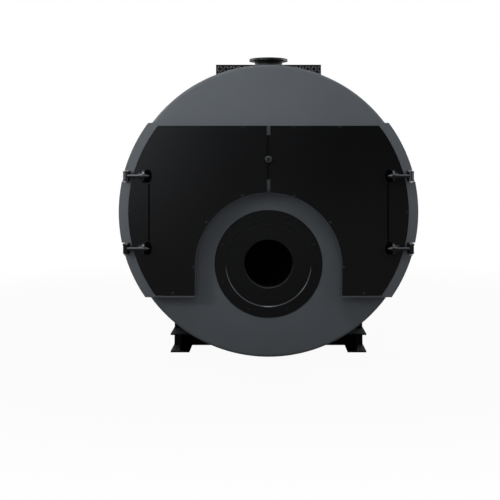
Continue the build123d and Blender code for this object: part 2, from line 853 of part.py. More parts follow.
def cut_hinge_notches(x_sign):
    """Takes the fixed brackets' notches out of the sketch being drawn."""
    notch_x = hinge_x - hinge_bracket_inside - hinge_notch_clearance
    notch_height = 2 * (fork_half + hinge_notch_clearance)
    for z_sign in (-1, 1):
        with Locations((x_sign * (notch_x + shell_radius / 2), z_sign * hinge_height)):
            Rectangle(shell_radius, notch_height, mode=Mode.SUBTRACT)


pocket_front = door_depth - door_front_plate
pocket_radius = hinge_x - hinge_bracket_inside - hinge_notch_clearance - door_wall
for side, x_sign in (("left", -1), ("right", 1)):
    with BuildPart() as door_shell:
        with BuildSketch(across(-lap_back)):
            draw_door(x_sign, shell_radius, door_bottom, door_top, door_gap / 2, door_arch_radius)
            cut_knob_notch()
            cut_hinge_notches(x_sign)
        extrude(amount=door_lap_depth)
        with BuildSketch(across(-door_rim_clearance)):
            draw_door(x_sign, shell_radius, door_bottom, door_top, door_rear_setback, door_arch_radius)
            cut_hinge_notches(x_sign)
        extrude(amount=lap_back - door_rim_clearance)
        with BuildSketch(across(-door_rim_clearance)):
            draw_door(
                x_sign,
                pocket_radius,
                door_bottom + door_wall,
                door_top - door_wall,
                door_rear_setback + door_wall,
                door_arch_radius + door_wall,
            )
        extrude(amount=pocket_front - door_rim_clearance, mode=Mode.SUBTRACT)
    write(door_shell, f"{side}_door_shell")

    with BuildPart() as door_lining:
        with BuildSketch(across(-door_running_clearance)):
            draw_door(
                x_sign,
                pocket_radius - fit_gap,
                door_bottom + door_wall + fit_gap,
                door_top - door_wall - fit_gap,
                door_rear_setback + door_wall + fit_gap,
                door_arch_radius + door_wall + fit_gap,
            )
        extrude(amount=pocket_front - door_running_clearance)
    write(door_lining, f"{side}_door_lining")

    with BuildPart() as door_panel:
        with BuildSketch(across(-door_depth)):
            draw_door(
                x_sign,
                panel_radius,
                door_bottom + panel_bottom_lip,
                door_top - panel_top_lip,
                door_gap / 2,
                door_arch_radius + panel_arch_margin,
            )
            cut_knob_notch()
        extrude(amount=panel_thickness)
    write(door_panel, f"{side}_door_panel")

    with BuildPart() as door_strip:
        with BuildSketch(across(-panel_front)):
            keep_band(panel_radius - strip_rim, -strip_half, strip_half)
            with Locations((x_sign * (strip_inner_x + shell_radius / 2), 0)):
                Rectangle(shell_radius, 2 * strip_half, mode=Mode.INTERSECT)
        extrude(amount=strip_thickness)
    write(door_strip, f"{side}_door_strip")

    with BuildPart() as door_arms:
        for z_sign in (-1, 1):
            centre = axis_height + z_sign * hinge_height
            bar_plane = Plane(
                origin=(x_sign * hinge_x, front_y - hinge_out, centre),
                x_dir=(0, 0, 1),
                z_dir=(-x_sign, 0, 0),
            )
            reach = hinge_x - hinge_disc_x
            with BuildSketch(level(centre - hinge_eye_height / 2, x=x_sign * hinge_x, depth=-hinge_out)):
                Circle(hinge_eye_radius)
            extrude(amount=hinge_eye_height)
            with BuildSketch(bar_plane):
                Circle(hinge_bar_radius)
            extrude(amount=reach)
            with BuildSketch(bar_plane.offset(reach - hinge_disc_thickness - hinge_collar_length)):
                Circle(hinge_collar_radius)
            extrude(amount=hinge_collar_length)
            with BuildSketch(bar_plane.offset(reach - hinge_disc_thickness)):
                Circle(hinge_disc_radius)
            extrude(amount=hinge_disc_thickness)
            with BuildSketch(bar_plane.offset(reach)):
                Circle(hinge_nose_radius)
            extrude(amount=hinge_nose_length, taper=hinge_nose_taper)
            foot_x = hinge_disc_x + hinge_disc_thickness + hinge_foot_width / 2
            with BuildSketch(across(-panel_front, centre)):
                with Locations((x_sign * foot_x, 0)):
                    Rectangle(hinge_foot_width, hinge_foot_height)
            extrude(amount=hinge_out - panel_front)
            with BuildSketch(level(centre - hinge_eye_height / 2, x=x_sign * hinge_x, depth=-hinge_out)):
                Circle(hinge_pin_radius + fit_gap)
            extrude(amount=hinge_eye_height, mode=Mode.SUBTRACT)
    write(door_arms, f"{side}_door_arms")

print("tube holes", 2 * len(tube_centres))
print("front face at y", round(front_y, 3), "overall length", overall_length)
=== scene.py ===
# %% [markdown]
# A large fire-tube boiler, dressed for a studio picture.
# The boiler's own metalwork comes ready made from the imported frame, one object for each piece,
# in metres, with +Z up and the front facing -Y. This lesson gives those pieces their finishes
# and adds what a fitter adds last: screws, bolts, welds, seams, tread studs and tube ends.

# %% Load the frame
import json
import math

import bmesh
import bpy
from mathutils import Matrix, Vector


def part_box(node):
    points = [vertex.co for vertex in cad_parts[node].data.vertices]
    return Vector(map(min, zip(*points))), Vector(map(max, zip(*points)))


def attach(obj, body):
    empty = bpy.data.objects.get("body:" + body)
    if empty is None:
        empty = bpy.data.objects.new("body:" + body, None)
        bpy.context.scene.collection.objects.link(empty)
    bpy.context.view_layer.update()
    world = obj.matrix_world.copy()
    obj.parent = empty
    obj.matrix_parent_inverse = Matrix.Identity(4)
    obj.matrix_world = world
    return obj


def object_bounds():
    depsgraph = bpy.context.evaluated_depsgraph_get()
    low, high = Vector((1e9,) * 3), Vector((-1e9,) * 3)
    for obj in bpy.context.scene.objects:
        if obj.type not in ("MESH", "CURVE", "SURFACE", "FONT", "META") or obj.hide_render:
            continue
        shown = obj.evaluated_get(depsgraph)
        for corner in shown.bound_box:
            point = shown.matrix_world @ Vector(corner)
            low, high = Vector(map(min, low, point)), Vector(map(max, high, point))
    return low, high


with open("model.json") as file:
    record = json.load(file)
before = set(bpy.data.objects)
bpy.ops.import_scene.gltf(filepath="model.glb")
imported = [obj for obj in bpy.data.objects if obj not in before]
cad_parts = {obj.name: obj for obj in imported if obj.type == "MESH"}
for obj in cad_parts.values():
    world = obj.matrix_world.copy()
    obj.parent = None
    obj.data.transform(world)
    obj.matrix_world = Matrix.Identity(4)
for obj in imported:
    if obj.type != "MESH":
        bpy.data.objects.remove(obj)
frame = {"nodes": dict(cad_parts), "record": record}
nodes = frame["nodes"]
cad_low, cad_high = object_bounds()
print("pieces in the frame:", len(nodes))
print("box of the frame:", [round(v, 3) for v in (*cad_low, *cad_high)])

# %% [markdown]
# Nearly every later piece is placed from a few sizes of the boiler. They could be typed in again,
# but reading them from the frame's boxes means that they can't disagree with the metalwork.

# %% Sizes read from the frame
head_low, head_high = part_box("front_head")
front_y = head_low.y
rear_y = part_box("rear_head")[1].y
shell_radius = (head_high.x - head_low.x) / 2
axis_z = (head_high.z + head_low.z) / 2
plate_low, plate_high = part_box("burner_plate")
furnace_z = (plate_high.z + plate_low.z) / 2
panel_face_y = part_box("left_door_panel")[0].y
forward, backward, downward = (0, -1, 0), (0, 1, 0), (0, 0, -1)
sides = (("left", -1), ("right", 1))
print("front face y", round(front_y, 3), "axis height", round(axis_z, 3))
print("shell radius", round(shell_radius, 3), "furnace height", round(furnace_z, 3))

# %% [markdown]
# The camera stands square in front, a little above the boiler's axis, as a catalogue
# photographer would set it. The lens is long, so the front disc stays round, and the picture is
# shifted down and sideways instead of tilting the camera, which keeps all uprights upright.

# %% Camera
scene = bpy.context.scene
camera_distance = 10.0
camera_height = 2.216
camera_lens = 65.9
sensor_width = 36.0
picture_shift = (-0.037, -0.1725)

camera_data = bpy.data.cameras.new("studio_camera")
camera_data.lens = camera_lens
camera_data.sensor_width = sensor_width
camera_data.shift_x, camera_data.shift_y = picture_shift
camera = bpy.data.objects.new("studio_camera", camera_data)
camera.location = (0.0, front_y - camera_distance, camera_height)
camera.rotation_euler = (math.radians(90), 0, 0)
scene.collection.objects.link(camera)
scene.camera = camera
print("camera at", [round(v, 3) for v in camera.location], "lens", camera_lens)

# %% [markdown]
# Light, finishes and repeated pieces are all trees of nodes here. Joining nodes one by one takes
# many lines that look alike, so one short helper adds every node of this lesson. It sets the
# node's options, and sets or joins its inputs, so that a tree of nodes reads like a recipe.

# %% A helper that adds nodes


def add(tree, kind, values=None, **options):
    """Adds a node, sets its options, and sets or joins its inputs."""
    node = tree.nodes.new(kind)
    for option, choice in options.items():
        setattr(node, option, choice)
    for socket, value in (values or {}).items():
        if isinstance(value, bpy.types.NodeSocket):
            tree.links.new(value, node.inputs[socket])
        else:
            node.inputs[socket].default_value = value
    return node


print("helper for nodes:", add.__name__)

# %% [markdown]
# Dark machinery is photographed in a white room. The room gives a weak even light, and soft
# boxes in the next cells do the rest. The world is split by ray type. The camera sees plain
# white. Gloss sees the white room too, but with a dark opening to the right of the camera and a
# little below it, as a studio has on the side of the photographer. Black gloss stays black from
# the front that way, and it pales towards the left edge, which mirrors the white wall.

# %% The white room
scene.view_settings.view_transform = "Standard"
white = (1, 1, 1, 1)
room_level = 0.28
seen_level = 1.0
mirror_level = 1.0
mirror_colour = (0.94, 0.985, 1.05, 1)
opening_level = 0.02
opening_side = math.radians(19.6)
opening_drop = math.radians(10)
opening_inner = math.radians(25)
opening_outer = math.radians(34)
opening_middle = (
    math.sin(opening_side) * math.cos(opening_drop),
    -math.cos(opening_side) * math.cos(opening_drop),
    -math.sin(opening_drop),
)

world = bpy.data.worlds.new("white_room")
world.use_nodes = True
scene.world = world
sky = world.node_tree
sky.nodes.clear()
path = add(sky, "ShaderNodeLightPath").outputs
direction = add(sky, "ShaderNodeTexCoord").outputs["Generated"]
towards = add(sky, "ShaderNodeVectorMath", {0: direction, 1: opening_middle}, operation="DOT_PRODUCT")
opening = add(
    sky,
    "ShaderNodeMapRange",
    {
        "Value": towards.outputs["Value"],
        "From Min": math.cos(opening_outer),
        "From Max": math.cos(opening_inner),
        "To Min": mirror_level,
        "To Max": opening_level,
    },
    interpolation_type="SMOOTHSTEP",
)
room = add(sky, "ShaderNodeBackground", {"Color": white, "Strength": room_level})
seen = add(sky, "ShaderNodeBackground", {"Color": white, "Strength": seen_level})
mirror_room = add(
    sky, "ShaderNodeBackground", {"Color": mirror_colour, "Strength": opening.outputs["Result"]}
)
gloss_or_glass = add(
    sky,
    "ShaderNodeMath",
    {0: path["Is Glossy Ray"], 1: path["Is Transmission Ray"]},
    operation="MAXIMUM",
)
by_mirror = add(
    sky,
    "ShaderNodeMixShader",
    {"Fac": gloss_or_glass.outputs[0], 1: room.outputs[0], 2: mirror_room.outputs[0]},
)
by_camera = add(
    sky,
    "ShaderNodeMixShader",
    {"Fac": path["Is Camera Ray"], 1: by_mirror.outputs[0], 2: seen.outputs[0]},
)
add(sky, "ShaderNodeOutputWorld", {"Surface": by_camera.outputs[0]})
print("room level", room_level, "mirrored", mirror_level, "in the opening", opening_level)

# %% [markdown]
# Soft boxes light the front mostly from above left. A small one close to the front, narrowed by
# a grid, makes the upper half bright. A strip overhead draws the bright lines along the hinges'
# bars. Two gridded ones at the sides light the doors' rims, the left one more. A large weak one
# behind the camera fills the arch, and gloss doesn't mirror it. Three more light the flanks and
# the rear, which only other views show.

# %% Soft boxes


def soft_box(name, place, aim, size, watts, spread=180, mirrored=True):
    """Hangs a rectangular lamp at a place and turns it to a point."""
    lamp = bpy.data.lights.new(name, "AREA")
    lamp.shape = "RECTANGLE"
    lamp.size, lamp.size_y = size
    lamp.energy = watts
    lamp.spread = math.radians(spread)
    hung = bpy.data.objects.new(name, lamp)
    hung.location = place
    hung.rotation_euler = (Vector(aim) - Vector(place)).to_track_quat("-Z", "Y").to_euler()
    hung.visible_glossy = mirrored
    scene.collection.objects.link(hung)
    print("lamp", name, watts, "W")


soft_box("front_box", (-0.9, front_y - 2.4, 4.9), (-0.1, front_y, 2.9), (3.0, 0.9), watts=9.7, spread=64)
soft_box("overhead_box", (-0.4, front_y - 1.5, 6.6), (0, front_y, 2.2), (5.0, 0.8), watts=13)
soft_box("left_box", (-4.2, front_y - 4.0, 3.4), (-1.7, front_y, 2.3), (1.2, 2.4), watts=11.2, spread=45)
soft_box("right_box", (4.2, front_y - 4.0, 3.4), (1.7, front_y, 2.3), (1.2, 2.4), watts=4.0, spread=45)
soft_box("fill_box", (0, front_y - 7.0, 2.2), (0, front_y, 1.7), (4.0, 4.0), watts=63, mirrored=False)
for side_name, sign in sides:
    flank_place = (sign * 7.0, front_y + 4.0, 5.6)
    flank_aim = (sign * 1.2, front_y + 3.4, 2.0)
    soft_box(f"{side_name}_flank_box", flank_place, flank_aim, (5.0, 2.5), watts=170, spread=120)
soft_box("rear_box", (0.8, rear_y + 5.0, 5.4), (0, rear_y, 1.9), (4.0, 2.0), watts=125, spread=120)

# %% [markdown]
# The floor is a wide pale disc. Near the boiler it takes a soft shadow, which stands the feet
# on the ground. Further out it fades to plain white, so that no horizon line shows, as the edge
# of a plain grey floor would. The camera and gloss see mostly glowing white, a little of it
# matt. All other light meets the matt floor.

# %% Floor
floor_radius = 60.0
shadow_near = 3.0
shadow_far = 9.0
shadow_share = 0.05
floor_mirror_level = 0.12
floor_colour = (0.26, 0.26, 0.27, 1)

bpy.ops.mesh.primitive_circle_add(vertices=96, radius=floor_radius, fill_type="NGON")
floor = bpy.context.object
floor.name = "studio_floor"
floor_material = bpy.data.materials.new("studio_floor")
floor_material.use_nodes = True
tree = floor_material.node_tree
tree.nodes.clear()
where = add(tree, "ShaderNodeTexCoord").outputs["Object"]
reach = add(tree, "ShaderNodeVectorMath", {0: where}, operation="LENGTH")
fade = add(
    tree,
    "ShaderNodeMapRange",
    {
        "Value": reach.outputs["Value"],
        "From Min": shadow_near,
        "From Max": shadow_far,
        "To Min": 1 - shadow_share,
        "To Max": 1.0,
    },
    interpolation_type="SMOOTHSTEP",
)
ray = add(tree, "ShaderNodeLightPath").outputs
camera_or_gloss = add(
    tree, "ShaderNodeMath", {0: ray["Is Camera Ray"], 1: ray["Is Glossy Ray"]}, operation="MAXIMUM"
)
share = add(
    tree,
    "ShaderNodeMath",
    {0: fade.outputs["Result"], 1: camera_or_gloss.outputs[0]},
    operation="MULTIPLY",
)
level = add(
    tree,
    "ShaderNodeMapRange",
    {"Value": ray["Is Glossy Ray"], "To Min": 1.0, "To Max": floor_mirror_level},
)
matt = add(tree, "ShaderNodeBsdfDiffuse", {"Color": floor_colour})
glow = add(tree, "ShaderNodeEmission", {"Strength": level.outputs["Result"]})
mixed = add(
    tree, "ShaderNodeMixShader", {"Fac": share.outputs[0], 1: matt.outputs[0], 2: glow.outputs[0]}
)
add(tree, "ShaderNodeOutputMaterial", {"Surface": mixed.outputs[0]})
floor.data.materials.append(floor_material)
print("floor radius", floor_radius)

# %% [markdown]
# Most of the boiler is coated sheet. Powder coat isn't flat: it has a fine orange peel, its
# gloss varies a little, and large faces differ slightly in tone. All three come from noise in
# object coordinates, so the grain keeps its real size on a big disc and on a small bracket.
# Pictures of paint could do it too, but then every piece would have to be unwrapped.

# %% A helper for coats of paint
drift_scale = 1.6
gloss_drift = 0.12
peel_height = 0.001


def coat(name, colour, roughness, specular, grain=260.0, peel=0.06, spread=0.08, metal=0.0):
    """Makes a coated metal finish with orange peel, drifting tone and drifting gloss."""
    material = bpy.data.materials.new(name)
    material.use_nodes = True
    tree = material.node_tree
    shader = tree.nodes["Principled BSDF"].inputs
    shader["Specular IOR Level"].default_value = specular
    shader["Metallic"].default_value = metal
    where = add(tree, "ShaderNodeTexCoord").outputs["Object"]
    drift = add(tree, "ShaderNodeTexNoise", {"Vector": where, "Scale": drift_scale, "Detail": 3.0})
    darker = (*[c * (1 - spread) for c in colour], 1)
    lighter = (*[c * (1 + spread) for c in colour], 1)
    tone = add(
        tree,
        "ShaderNodeMix",
        {"Factor": drift.outputs["Fac"], "A": darker, "B": lighter},
        data_type="RGBA",
    )
    gloss = add(
        tree,
        "ShaderNodeMapRange",
        {
            "Value": drift.outputs["Fac"],
            "To Min": roughness * (1 - gloss_drift),
            "To Max": roughness * (1 + gloss_drift),
        },
    )
    fine = add(tree, "ShaderNodeTexNoise", {"Vector": where, "Scale": grain, "Detail": 1.0})
    bump = add(
        tree,
        "ShaderNodeBump",
        {"Height": fine.outputs["Fac"], "Strength": peel, "Distance": peel_height},
    )
    tree.links.new(tone.outputs["Result"], shader["Base Color"])
    tree.links.new(gloss.outputs["Result"], shader["Roughness"])
    tree.links.new(bump.outputs["Normal"], shader["Normal"])
    return material


print("tone and gloss drift over about", round(1 / drift_scale, 2), "m")

# %% [markdown]
# The same helper makes the finishes that aren't paint: bare steel is metal, fireclay and fibre
# are rough and uneven, worn studs differ a lot in tone. They could each be set by hand, but one
# table keeps them side by side, because finishes are judged against each other. The frame names
# a slot for each of its pieces, and the piece takes the finish of that name. Only the knob has
# one of its own.

# %% The finishes
# Each row: the colour, the roughness, the specular level, and what differs from plain paint.
coats = {
    "casing_grey": ((0.098, 0.108, 0.119), 0.56, 0.22, {}),
    "black_panel": ((0.0030, 0.0031, 0.0034), 0.18, 0.50, {"peel": 0.03}),
    "black_plate": ((0.0035, 0.0036, 0.004), 0.34, 0.25, {"grain": 180.0}),
    "hinge_black": ((0.075, 0.075, 0.078), 0.09, 0.5, {"grain": 200.0, "peel": 0.02, "metal": 1.0}),
    "knob_grey": ((0.020, 0.021, 0.023), 0.28, 0.7, {"grain": 200.0, "peel": 0.02}),
    "frame_black": ((0.003, 0.0031, 0.0035), 0.62, 0.08, {}),
    "pipe_black": ((0.0045, 0.0045, 0.005), 0.36, 0.25, {"grain": 150.0, "peel": 0.1}),
    "tread_plate": ((0.005, 0.0052, 0.0056), 0.50, 0.08, {}),
    "worn_stud": ((0.138, 0.140, 0.146), 0.38, 0.3, {"grain": 120.0, "spread": 0.6}),
    # In this script black_rubber colours only painted shade: the seam shadows along the strips and the
    # shadows under the hinges' discs.
    "black_rubber": ((0.0010, 0.0010, 0.0012), 0.8, 0.03, {"grain": 120.0}),
    "chamber_steel": ((0.05, 0.044, 0.040), 0.75, 0.3, {"grain": 60.0, "peel": 0.5, "spread": 0.4}),
    "refractory": ((0.40, 0.34, 0.27), 0.92, 0.2, {"grain": 90.0, "peel": 0.6, "spread": 0.12}),
    "fibre_lining": ((0.60, 0.57, 0.50), 0.95, 0.15, {"grain": 140.0, "peel": 0.5}),
    "sooty_rope": ((0.10, 0.093, 0.082), 0.95, 0.15, {"grain": 220.0, "peel": 0.5, "spread": 0.3}),
    "pin_steel": ((0.42, 0.42, 0.43), 0.35, 0.5, {"grain": 300.0, "metal": 1.0}),
    "worn_edge": ((0.05, 0.05, 0.053), 0.12, 0.5, {"grain": 300.0, "metal": 1.0}),
}
finishes = {
    name: coat(name, colour, roughness, specular, **differing)
    for name, (colour, roughness, specular, differing) in coats.items()
}
own_finish = {"door_knob": "knob_grey"}
for row in frame["record"]["subparts"]:
    piece = nodes[row["node"]]
    piece.data.materials.clear()
    piece.data.materials.append(finishes[own_finish.get(row["node"], row["material_slot"])])
print("finishes:", len(finishes))

# %% [markdown]
# Round the furnace's mouth, the fireclay and the chamber's steel are made darker towards the furnace's
# axis, so that the bore reads black. It is darkest at the axis and thins out in blotches. It could be
# painted on by hand, but the distance from that axis, made uneven with noise, mixes the finish towards
# black on both pieces alike.

# %% Darker towards the furnace's axis
axis_dark_colour = (0.0035, 0.0034, 0.0033, 1)
blotch_scale = 7.0
blotch_reach = 0.12


def axis_darkening(material, clean_radius, black_radius):
    """Blackens a finish towards the furnace's axis."""
    tree = material.node_tree
    base = tree.nodes["Principled BSDF"].inputs["Base Color"]
    clean = base.links[0].from_socket
    where = add(tree, "ShaderNodeTexCoord").outputs["Object"]
    off_axis = add(
        tree,
        "ShaderNodeVectorMath",
        {0: where, 1: (1.0, 0.0, 1.0), 2: (0.0, 0.0, -furnace_z)},
        operation="MULTIPLY_ADD",
    )
    radius = add(tree, "ShaderNodeVectorMath", {0: off_axis.outputs["Vector"]}, operation="LENGTH")
    blotches = add(tree, "ShaderNodeTexNoise", {"Vector": where, "Scale": blotch_scale, "Detail": 4.0})
    uneven = add(
        tree,
        "ShaderNodeMath",
        {0: blotches.outputs["Fac"], 1: blotch_reach, 2: radius.outputs["Value"]},
        operation="MULTIPLY_ADD",
    )
    share = add(
        tree,
        "ShaderNodeMapRange",
        {"Value": uneven.outputs[0], "From Min": black_radius, "From Max": clean_radius},
    )
    mixed = add(
        tree,
        "ShaderNodeMix",
        {"Factor": share.outputs["Result"], "A": axis_dark_colour, "B": clean},
        data_type="RGBA",
    )
    tree.links.new(mixed.outputs["Result"], base)


axis_darkening(finishes["refractory"], clean_radius=0.95, black_radius=0.50)
axis_darkening(finishes["chamber_steel"], clean_radius=1.60, black_radius=0.60)
print("soot goes out from", [round(v, 3) for v in (0, furnace_z)])

# %% [markdown]
# What a fitter adds last comes in dozens: bolts, rivets, tread studs, weld ripples, tube ends.
# Modelled by hand they would be hundreds of copies to keep in place. They follow rules, though,
# so Geometry Nodes make them from a few named sizes. Each tree below is written once. The
# helpers here open a tree with its sizes as named inputs, reckon inside it, and close it so that
# its copies are real and carry a finish.

# %% Helpers that open and close a tree


def open_tree(name, sizes, takes_shape=False, takes_material=True):
    """Starts a tree whose inputs are named sizes, and gives the tree and those inputs."""
    tree = bpy.data.node_groups.new(name, "GeometryNodeTree")
    if takes_shape:
        tree.interface.new_socket("Shape", in_out="INPUT", socket_type="NodeSocketGeometry")
    for label, usual in sizes.items():
        kind = "NodeSocketInt" if isinstance(usual, int) else "NodeSocketFloat"
        socket = tree.interface.new_socket(label, in_out="INPUT", socket_type=kind)
        socket.default_value = usual
    if takes_material:
        tree.interface.new_socket("Finish", in_out="INPUT", socket_type="NodeSocketMaterial")
    tree.interface.new_socket("Shape", in_out="OUTPUT", socket_type="NodeSocketGeometry")
    return tree, add(tree, "NodeGroupInput").outputs


def calc(tree, operation, *terms):
    """Adds one sum to a tree and gives its result."""
    return add(tree, "ShaderNodeMath", dict(enumerate(terms)), operation=operation).outputs[0]


def part_of(tree, value, factor):
    """A value times a factor."""
    return calc(tree, "MULTIPLY", value, factor)


def join(tree, parts):
    """Joins shapes into one."""
    joined = add(tree, "GeometryNodeJoinGeometry")
    for part in parts:
        tree.links.new(part, joined.inputs[0])
    return joined.outputs[0]


def close_head(tree, parts):
    """Ends the tree of a small head: its parts are joined."""
    add(tree, "NodeGroupOutput", {0: join(tree, parts)})


def close_tree(tree, size, shape, smooth=False):
    """Ends a tree: copies become real, the shading is set and the finish goes on."""
    real = add(tree, "GeometryNodeRealizeInstances", {0: shape})
    shaded = add(tree, "GeometryNodeSetShadeSmooth", {0: real.outputs[0], "Shade Smooth": smooth})
    coated = add(tree, "GeometryNodeSetMaterial", {0: shaded.outputs[0], "Material": size["Finish"]})
    add(tree, "NodeGroupOutput", {0: coated.outputs[0]})


print("helpers for trees: open_tree, calc, part_of, join, close_head, close_tree")

# %% [markdown]
# Shapes inside a tree need a few words each: what kind of mesh or curve, how large, and where it
# stands. Written out in full they would fill most of the later cells, so each gets its helper.
# The solid ones stand on the origin or at a height over it, which makes them easy to pile up.

# %% Helpers that add shapes to a tree


def lift(tree, shape, height):
    """Raises a shape along its own Z."""
    up = add(tree, "ShaderNodeCombineXYZ", {"Z": height})
    return add(tree, "GeometryNodeTransform", {0: shape, "Translation": up.outputs[0]}).outputs[0]


def drum(tree, corners, radius, depth, foot=0.0):
    """An upright cylinder that stands at a height."""
    values = {"Vertices": corners, "Radius": radius, "Depth": depth}
    shape = add(tree, "GeometryNodeMeshCylinder", values).outputs["Mesh"]
    return lift(tree, shape, calc(tree, "MULTIPLY_ADD", depth, 0.5, foot))


def taper(tree, corners, bottom, top, depth, fill="NONE"):
    """A tapered ring that stands on the origin, or a solid one where it is filled."""
    values = {"Vertices": corners, "Radius Top": top, "Radius Bottom": bottom, "Depth": depth}
    return add(tree, "GeometryNodeMeshCone", values, fill_type=fill).outputs["Mesh"]


def curve_ring(tree, steps, radius):
    """A round curve, to sweep along or to sweep with."""
    values = {"Resolution": steps, "Radius": radius}
    return add(tree, "GeometryNodeCurvePrimitiveCircle", values).outputs[0]


def curve_box(tree, width, height):
    """A rectangular curve to sweep with."""
    values = {"Width": width, "Height": height}
    return add(tree, "GeometryNodeCurvePrimitiveQuadrilateral", values).outputs[0]


def sweep(tree, track, section, **values):
    """Sweeps a section along a track."""
    return add(tree, "GeometryNodeCurveToMesh", {0: track, 1: section, **values}).outputs[0]


def copies(tree, points, shape, **values):
    """Sets a copy of a shape on each point."""
    values = {"Points": points, "Instance": shape, **values}
    return add(tree, "GeometryNodeInstanceOnPoints", values).outputs[0]


print("helpers for shapes: lift, drum, taper, curve_ring, curve_box, sweep, copies")

# %% [markdown]
# A tree runs on a carrier object, whose evaluated shape is kept as a plain mesh. Sizes that a
# call leaves out keep the tree's usual values. The meshes that belong together are then joined
# into one named piece, which rides on a body: the boiler itself or one of its doors.

# %% Helpers that run node trees
made_triangles = {}


def grow(tree, finish, sizes, shape=None, place=None):
    """Runs a tree with these sizes on a shape, and gives the plain mesh that it makes."""
    carrier = bpy.data.objects.new("carrier", shape or bpy.data.meshes.new("carrier"))
    scene.collection.objects.link(carrier)
    step = carrier.modifiers.new("grow", "NODES")
    step.node_group = tree
    values = {**sizes, "Finish": finishes[finish]}
    for socket in tree.interface.items_tree:
        if socket.in_out == "INPUT" and socket.name in values:
            step[socket.identifier] = values[socket.name]
    grown = carrier.evaluated_get(bpy.context.evaluated_depsgraph_get())
    mesh = bpy.data.meshes.new_from_object(grown)
    bpy.data.objects.remove(carrier)
    if place is not None:
        mesh.transform(place)
    return mesh


def mesh_of(shape, name):
    """Turns a bmesh into a plain mesh."""
    mesh = bpy.data.meshes.new(name)
    shape.to_mesh(mesh)
    shape.free()
    return mesh


def settle(name, meshes, body, slot, finish=None):
    """Joins meshes into one named piece that rides on a body."""
    shape = bmesh.new()
    for mesh in meshes:
        shape.from_mesh(mesh)
        bpy.data.meshes.remove(mesh)
    joined = mesh_of(shape, name)
    joined.materials.clear()
    joined.materials.append(finishes[finish or slot])
    piece = bpy.data.objects.new(name, joined)
    scene.collection.objects.link(piece)
    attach(piece, body)
    triangles = sum(len(face.vertices) - 2 for face in joined.polygons)
    made_triangles[name] = triangles
    print(name, "rides on", body, "with", triangles, "triangles")


print("helpers that run a tree and keep what it makes: grow, mesh_of, settle")

# %% [markdown]
# Places are given from the front face: how far behind it, how far off the middle, and how high.
# A piece that stands on a face is made upright at the origin, and a matrix then turns its own Z
# out of that face. Bare points and lines carry the trees that repeat or follow something.

# %% Helpers that give places


def spot(depth, x, z):
    """A place from its depth behind the front face, its x and its height."""
    return Vector((x, front_y + depth, z))


def facing(where, direction):
    """The matrix that stands a piece on a place, with its own Z along a direction."""
    return Matrix.Translation(where) @ Vector(direction).to_track_quat("Z", "Y").to_matrix().to_4x4()


def wire(points, closed=True):
    """A bare line through points, for trees that follow a path."""
    line = bpy.data.meshes.new("line")
    edges = [(i, i + 1) for i in range(len(points) - 1)]
    if closed:
        edges.append((len(points) - 1, 0))
    line.from_pydata([tuple(point) for point in points], edges, [])
    return line


def only_points(points):
    """A mesh of loose points."""
    cloud = bpy.data.meshes.new("points")
    cloud.from_pydata([tuple(point) for point in points], [], [])
    return cloud


def ring(radius, centre, direction, steps=72):
    """Points round a circle."""
    turned = facing(centre, direction)
    angles = [2 * math.pi * step / steps for step in range(steps)]
    return [turned @ Vector((radius * math.cos(a), radius * math.sin(a), 0)) for a in angles]


print("front at", spot(0, 0, axis_z)[:])

# %% [markdown]
# A bolt is a washer, a hexagon with a turned crown, and the end of its stud. One modelled bolt
# could be scaled for every place, but then its washer would grow with it. So its sizes are the
# inputs of a small tree of its own.

# %% The bolt's head
head_sizes = {
    "Washer Radius": 0.020,
    "Washer Height": 0.003,
    "Head Radius": 0.016,
    "Head Height": 0.011,
    "Stud Radius": 0.008,
    "Stud Height": 0.004,
}
washer_corners, hexagon_corners, crown_corners, stud_corners = 20, 6, 18, 12
crown_foot, crown_top, crown_rise = 0.86, 0.70, 0.12
bolt_head, size = open_tree("bolt_head", head_sizes, takes_material=False)
hexagon_top = calc(bolt_head, "ADD", size["Washer Height"], size["Head Height"])
crown = taper(
    bolt_head,
    crown_corners,
    part_of(bolt_head, size["Head Radius"], crown_foot),
    part_of(bolt_head, size["Head Radius"], crown_top),
    part_of(bolt_head, size["Head Height"], crown_rise),
    fill="NGON",
)
close_head(
    bolt_head,
    [
        drum(bolt_head, washer_corners, size["Washer Radius"], size["Washer Height"]),
        drum(bolt_head, hexagon_corners, size["Head Radius"], size["Head Height"], size["Washer Height"]),
        lift(bolt_head, crown, hexagon_top),
        drum(bolt_head, stud_corners, size["Stud Radius"], size["Stud Height"], hexagon_top),
    ],
)
print("bolt head inputs:", list(head_sizes))

# %% [markdown]
# A screw's head is a low cone with a socket sunk into it: three open rings and a floor, of which
# the socket's wall is turned to face inwards. Its slopes are flat enough to mirror the room and
# not the panel beside it. A rivet's head is a dome. A sphere would be rounder, but two tapers
# are enough at its size and cost far fewer triangles.

# %% The heads of a screw and a rivet
pan_sizes = {"Head Radius": 0.010, "Head Height": 0.003}
screw_corners = 18
shoulder_share, mouth_share = 0.64, 0.40
top_rise, floor_rise = 0.15, 0.5
screw_head, size = open_tree("screw_head", pan_sizes, takes_material=False)
shoulder = part_of(screw_head, size["Head Radius"], shoulder_share)
mouth = part_of(screw_head, size["Head Radius"], mouth_share)
top_height = part_of(screw_head, size["Head Height"], top_rise)
floor_height = part_of(screw_head, size["Head Height"], floor_rise)
wall_height = part_of(screw_head, size["Head Height"], 1 + top_rise - floor_rise)
side = taper(screw_head, screw_corners, size["Head Radius"], shoulder, size["Head Height"])
top = taper(screw_head, screw_corners, shoulder, mouth, top_height)
wall = taper(screw_head, screw_corners, mouth, mouth, wall_height)
inside = add(screw_head, "GeometryNodeFlipFaces", {0: wall})
bottom = add(
    screw_head,
    "GeometryNodeMeshCircle",
    {"Vertices": screw_corners, "Radius": mouth},
    fill_type="NGON",
)
close_head(
    screw_head,
    [
        side,
        lift(screw_head, top, size["Head Height"]),
        lift(screw_head, inside.outputs[0], floor_height),
        lift(screw_head, bottom.outputs["Mesh"], floor_height),
    ],
)

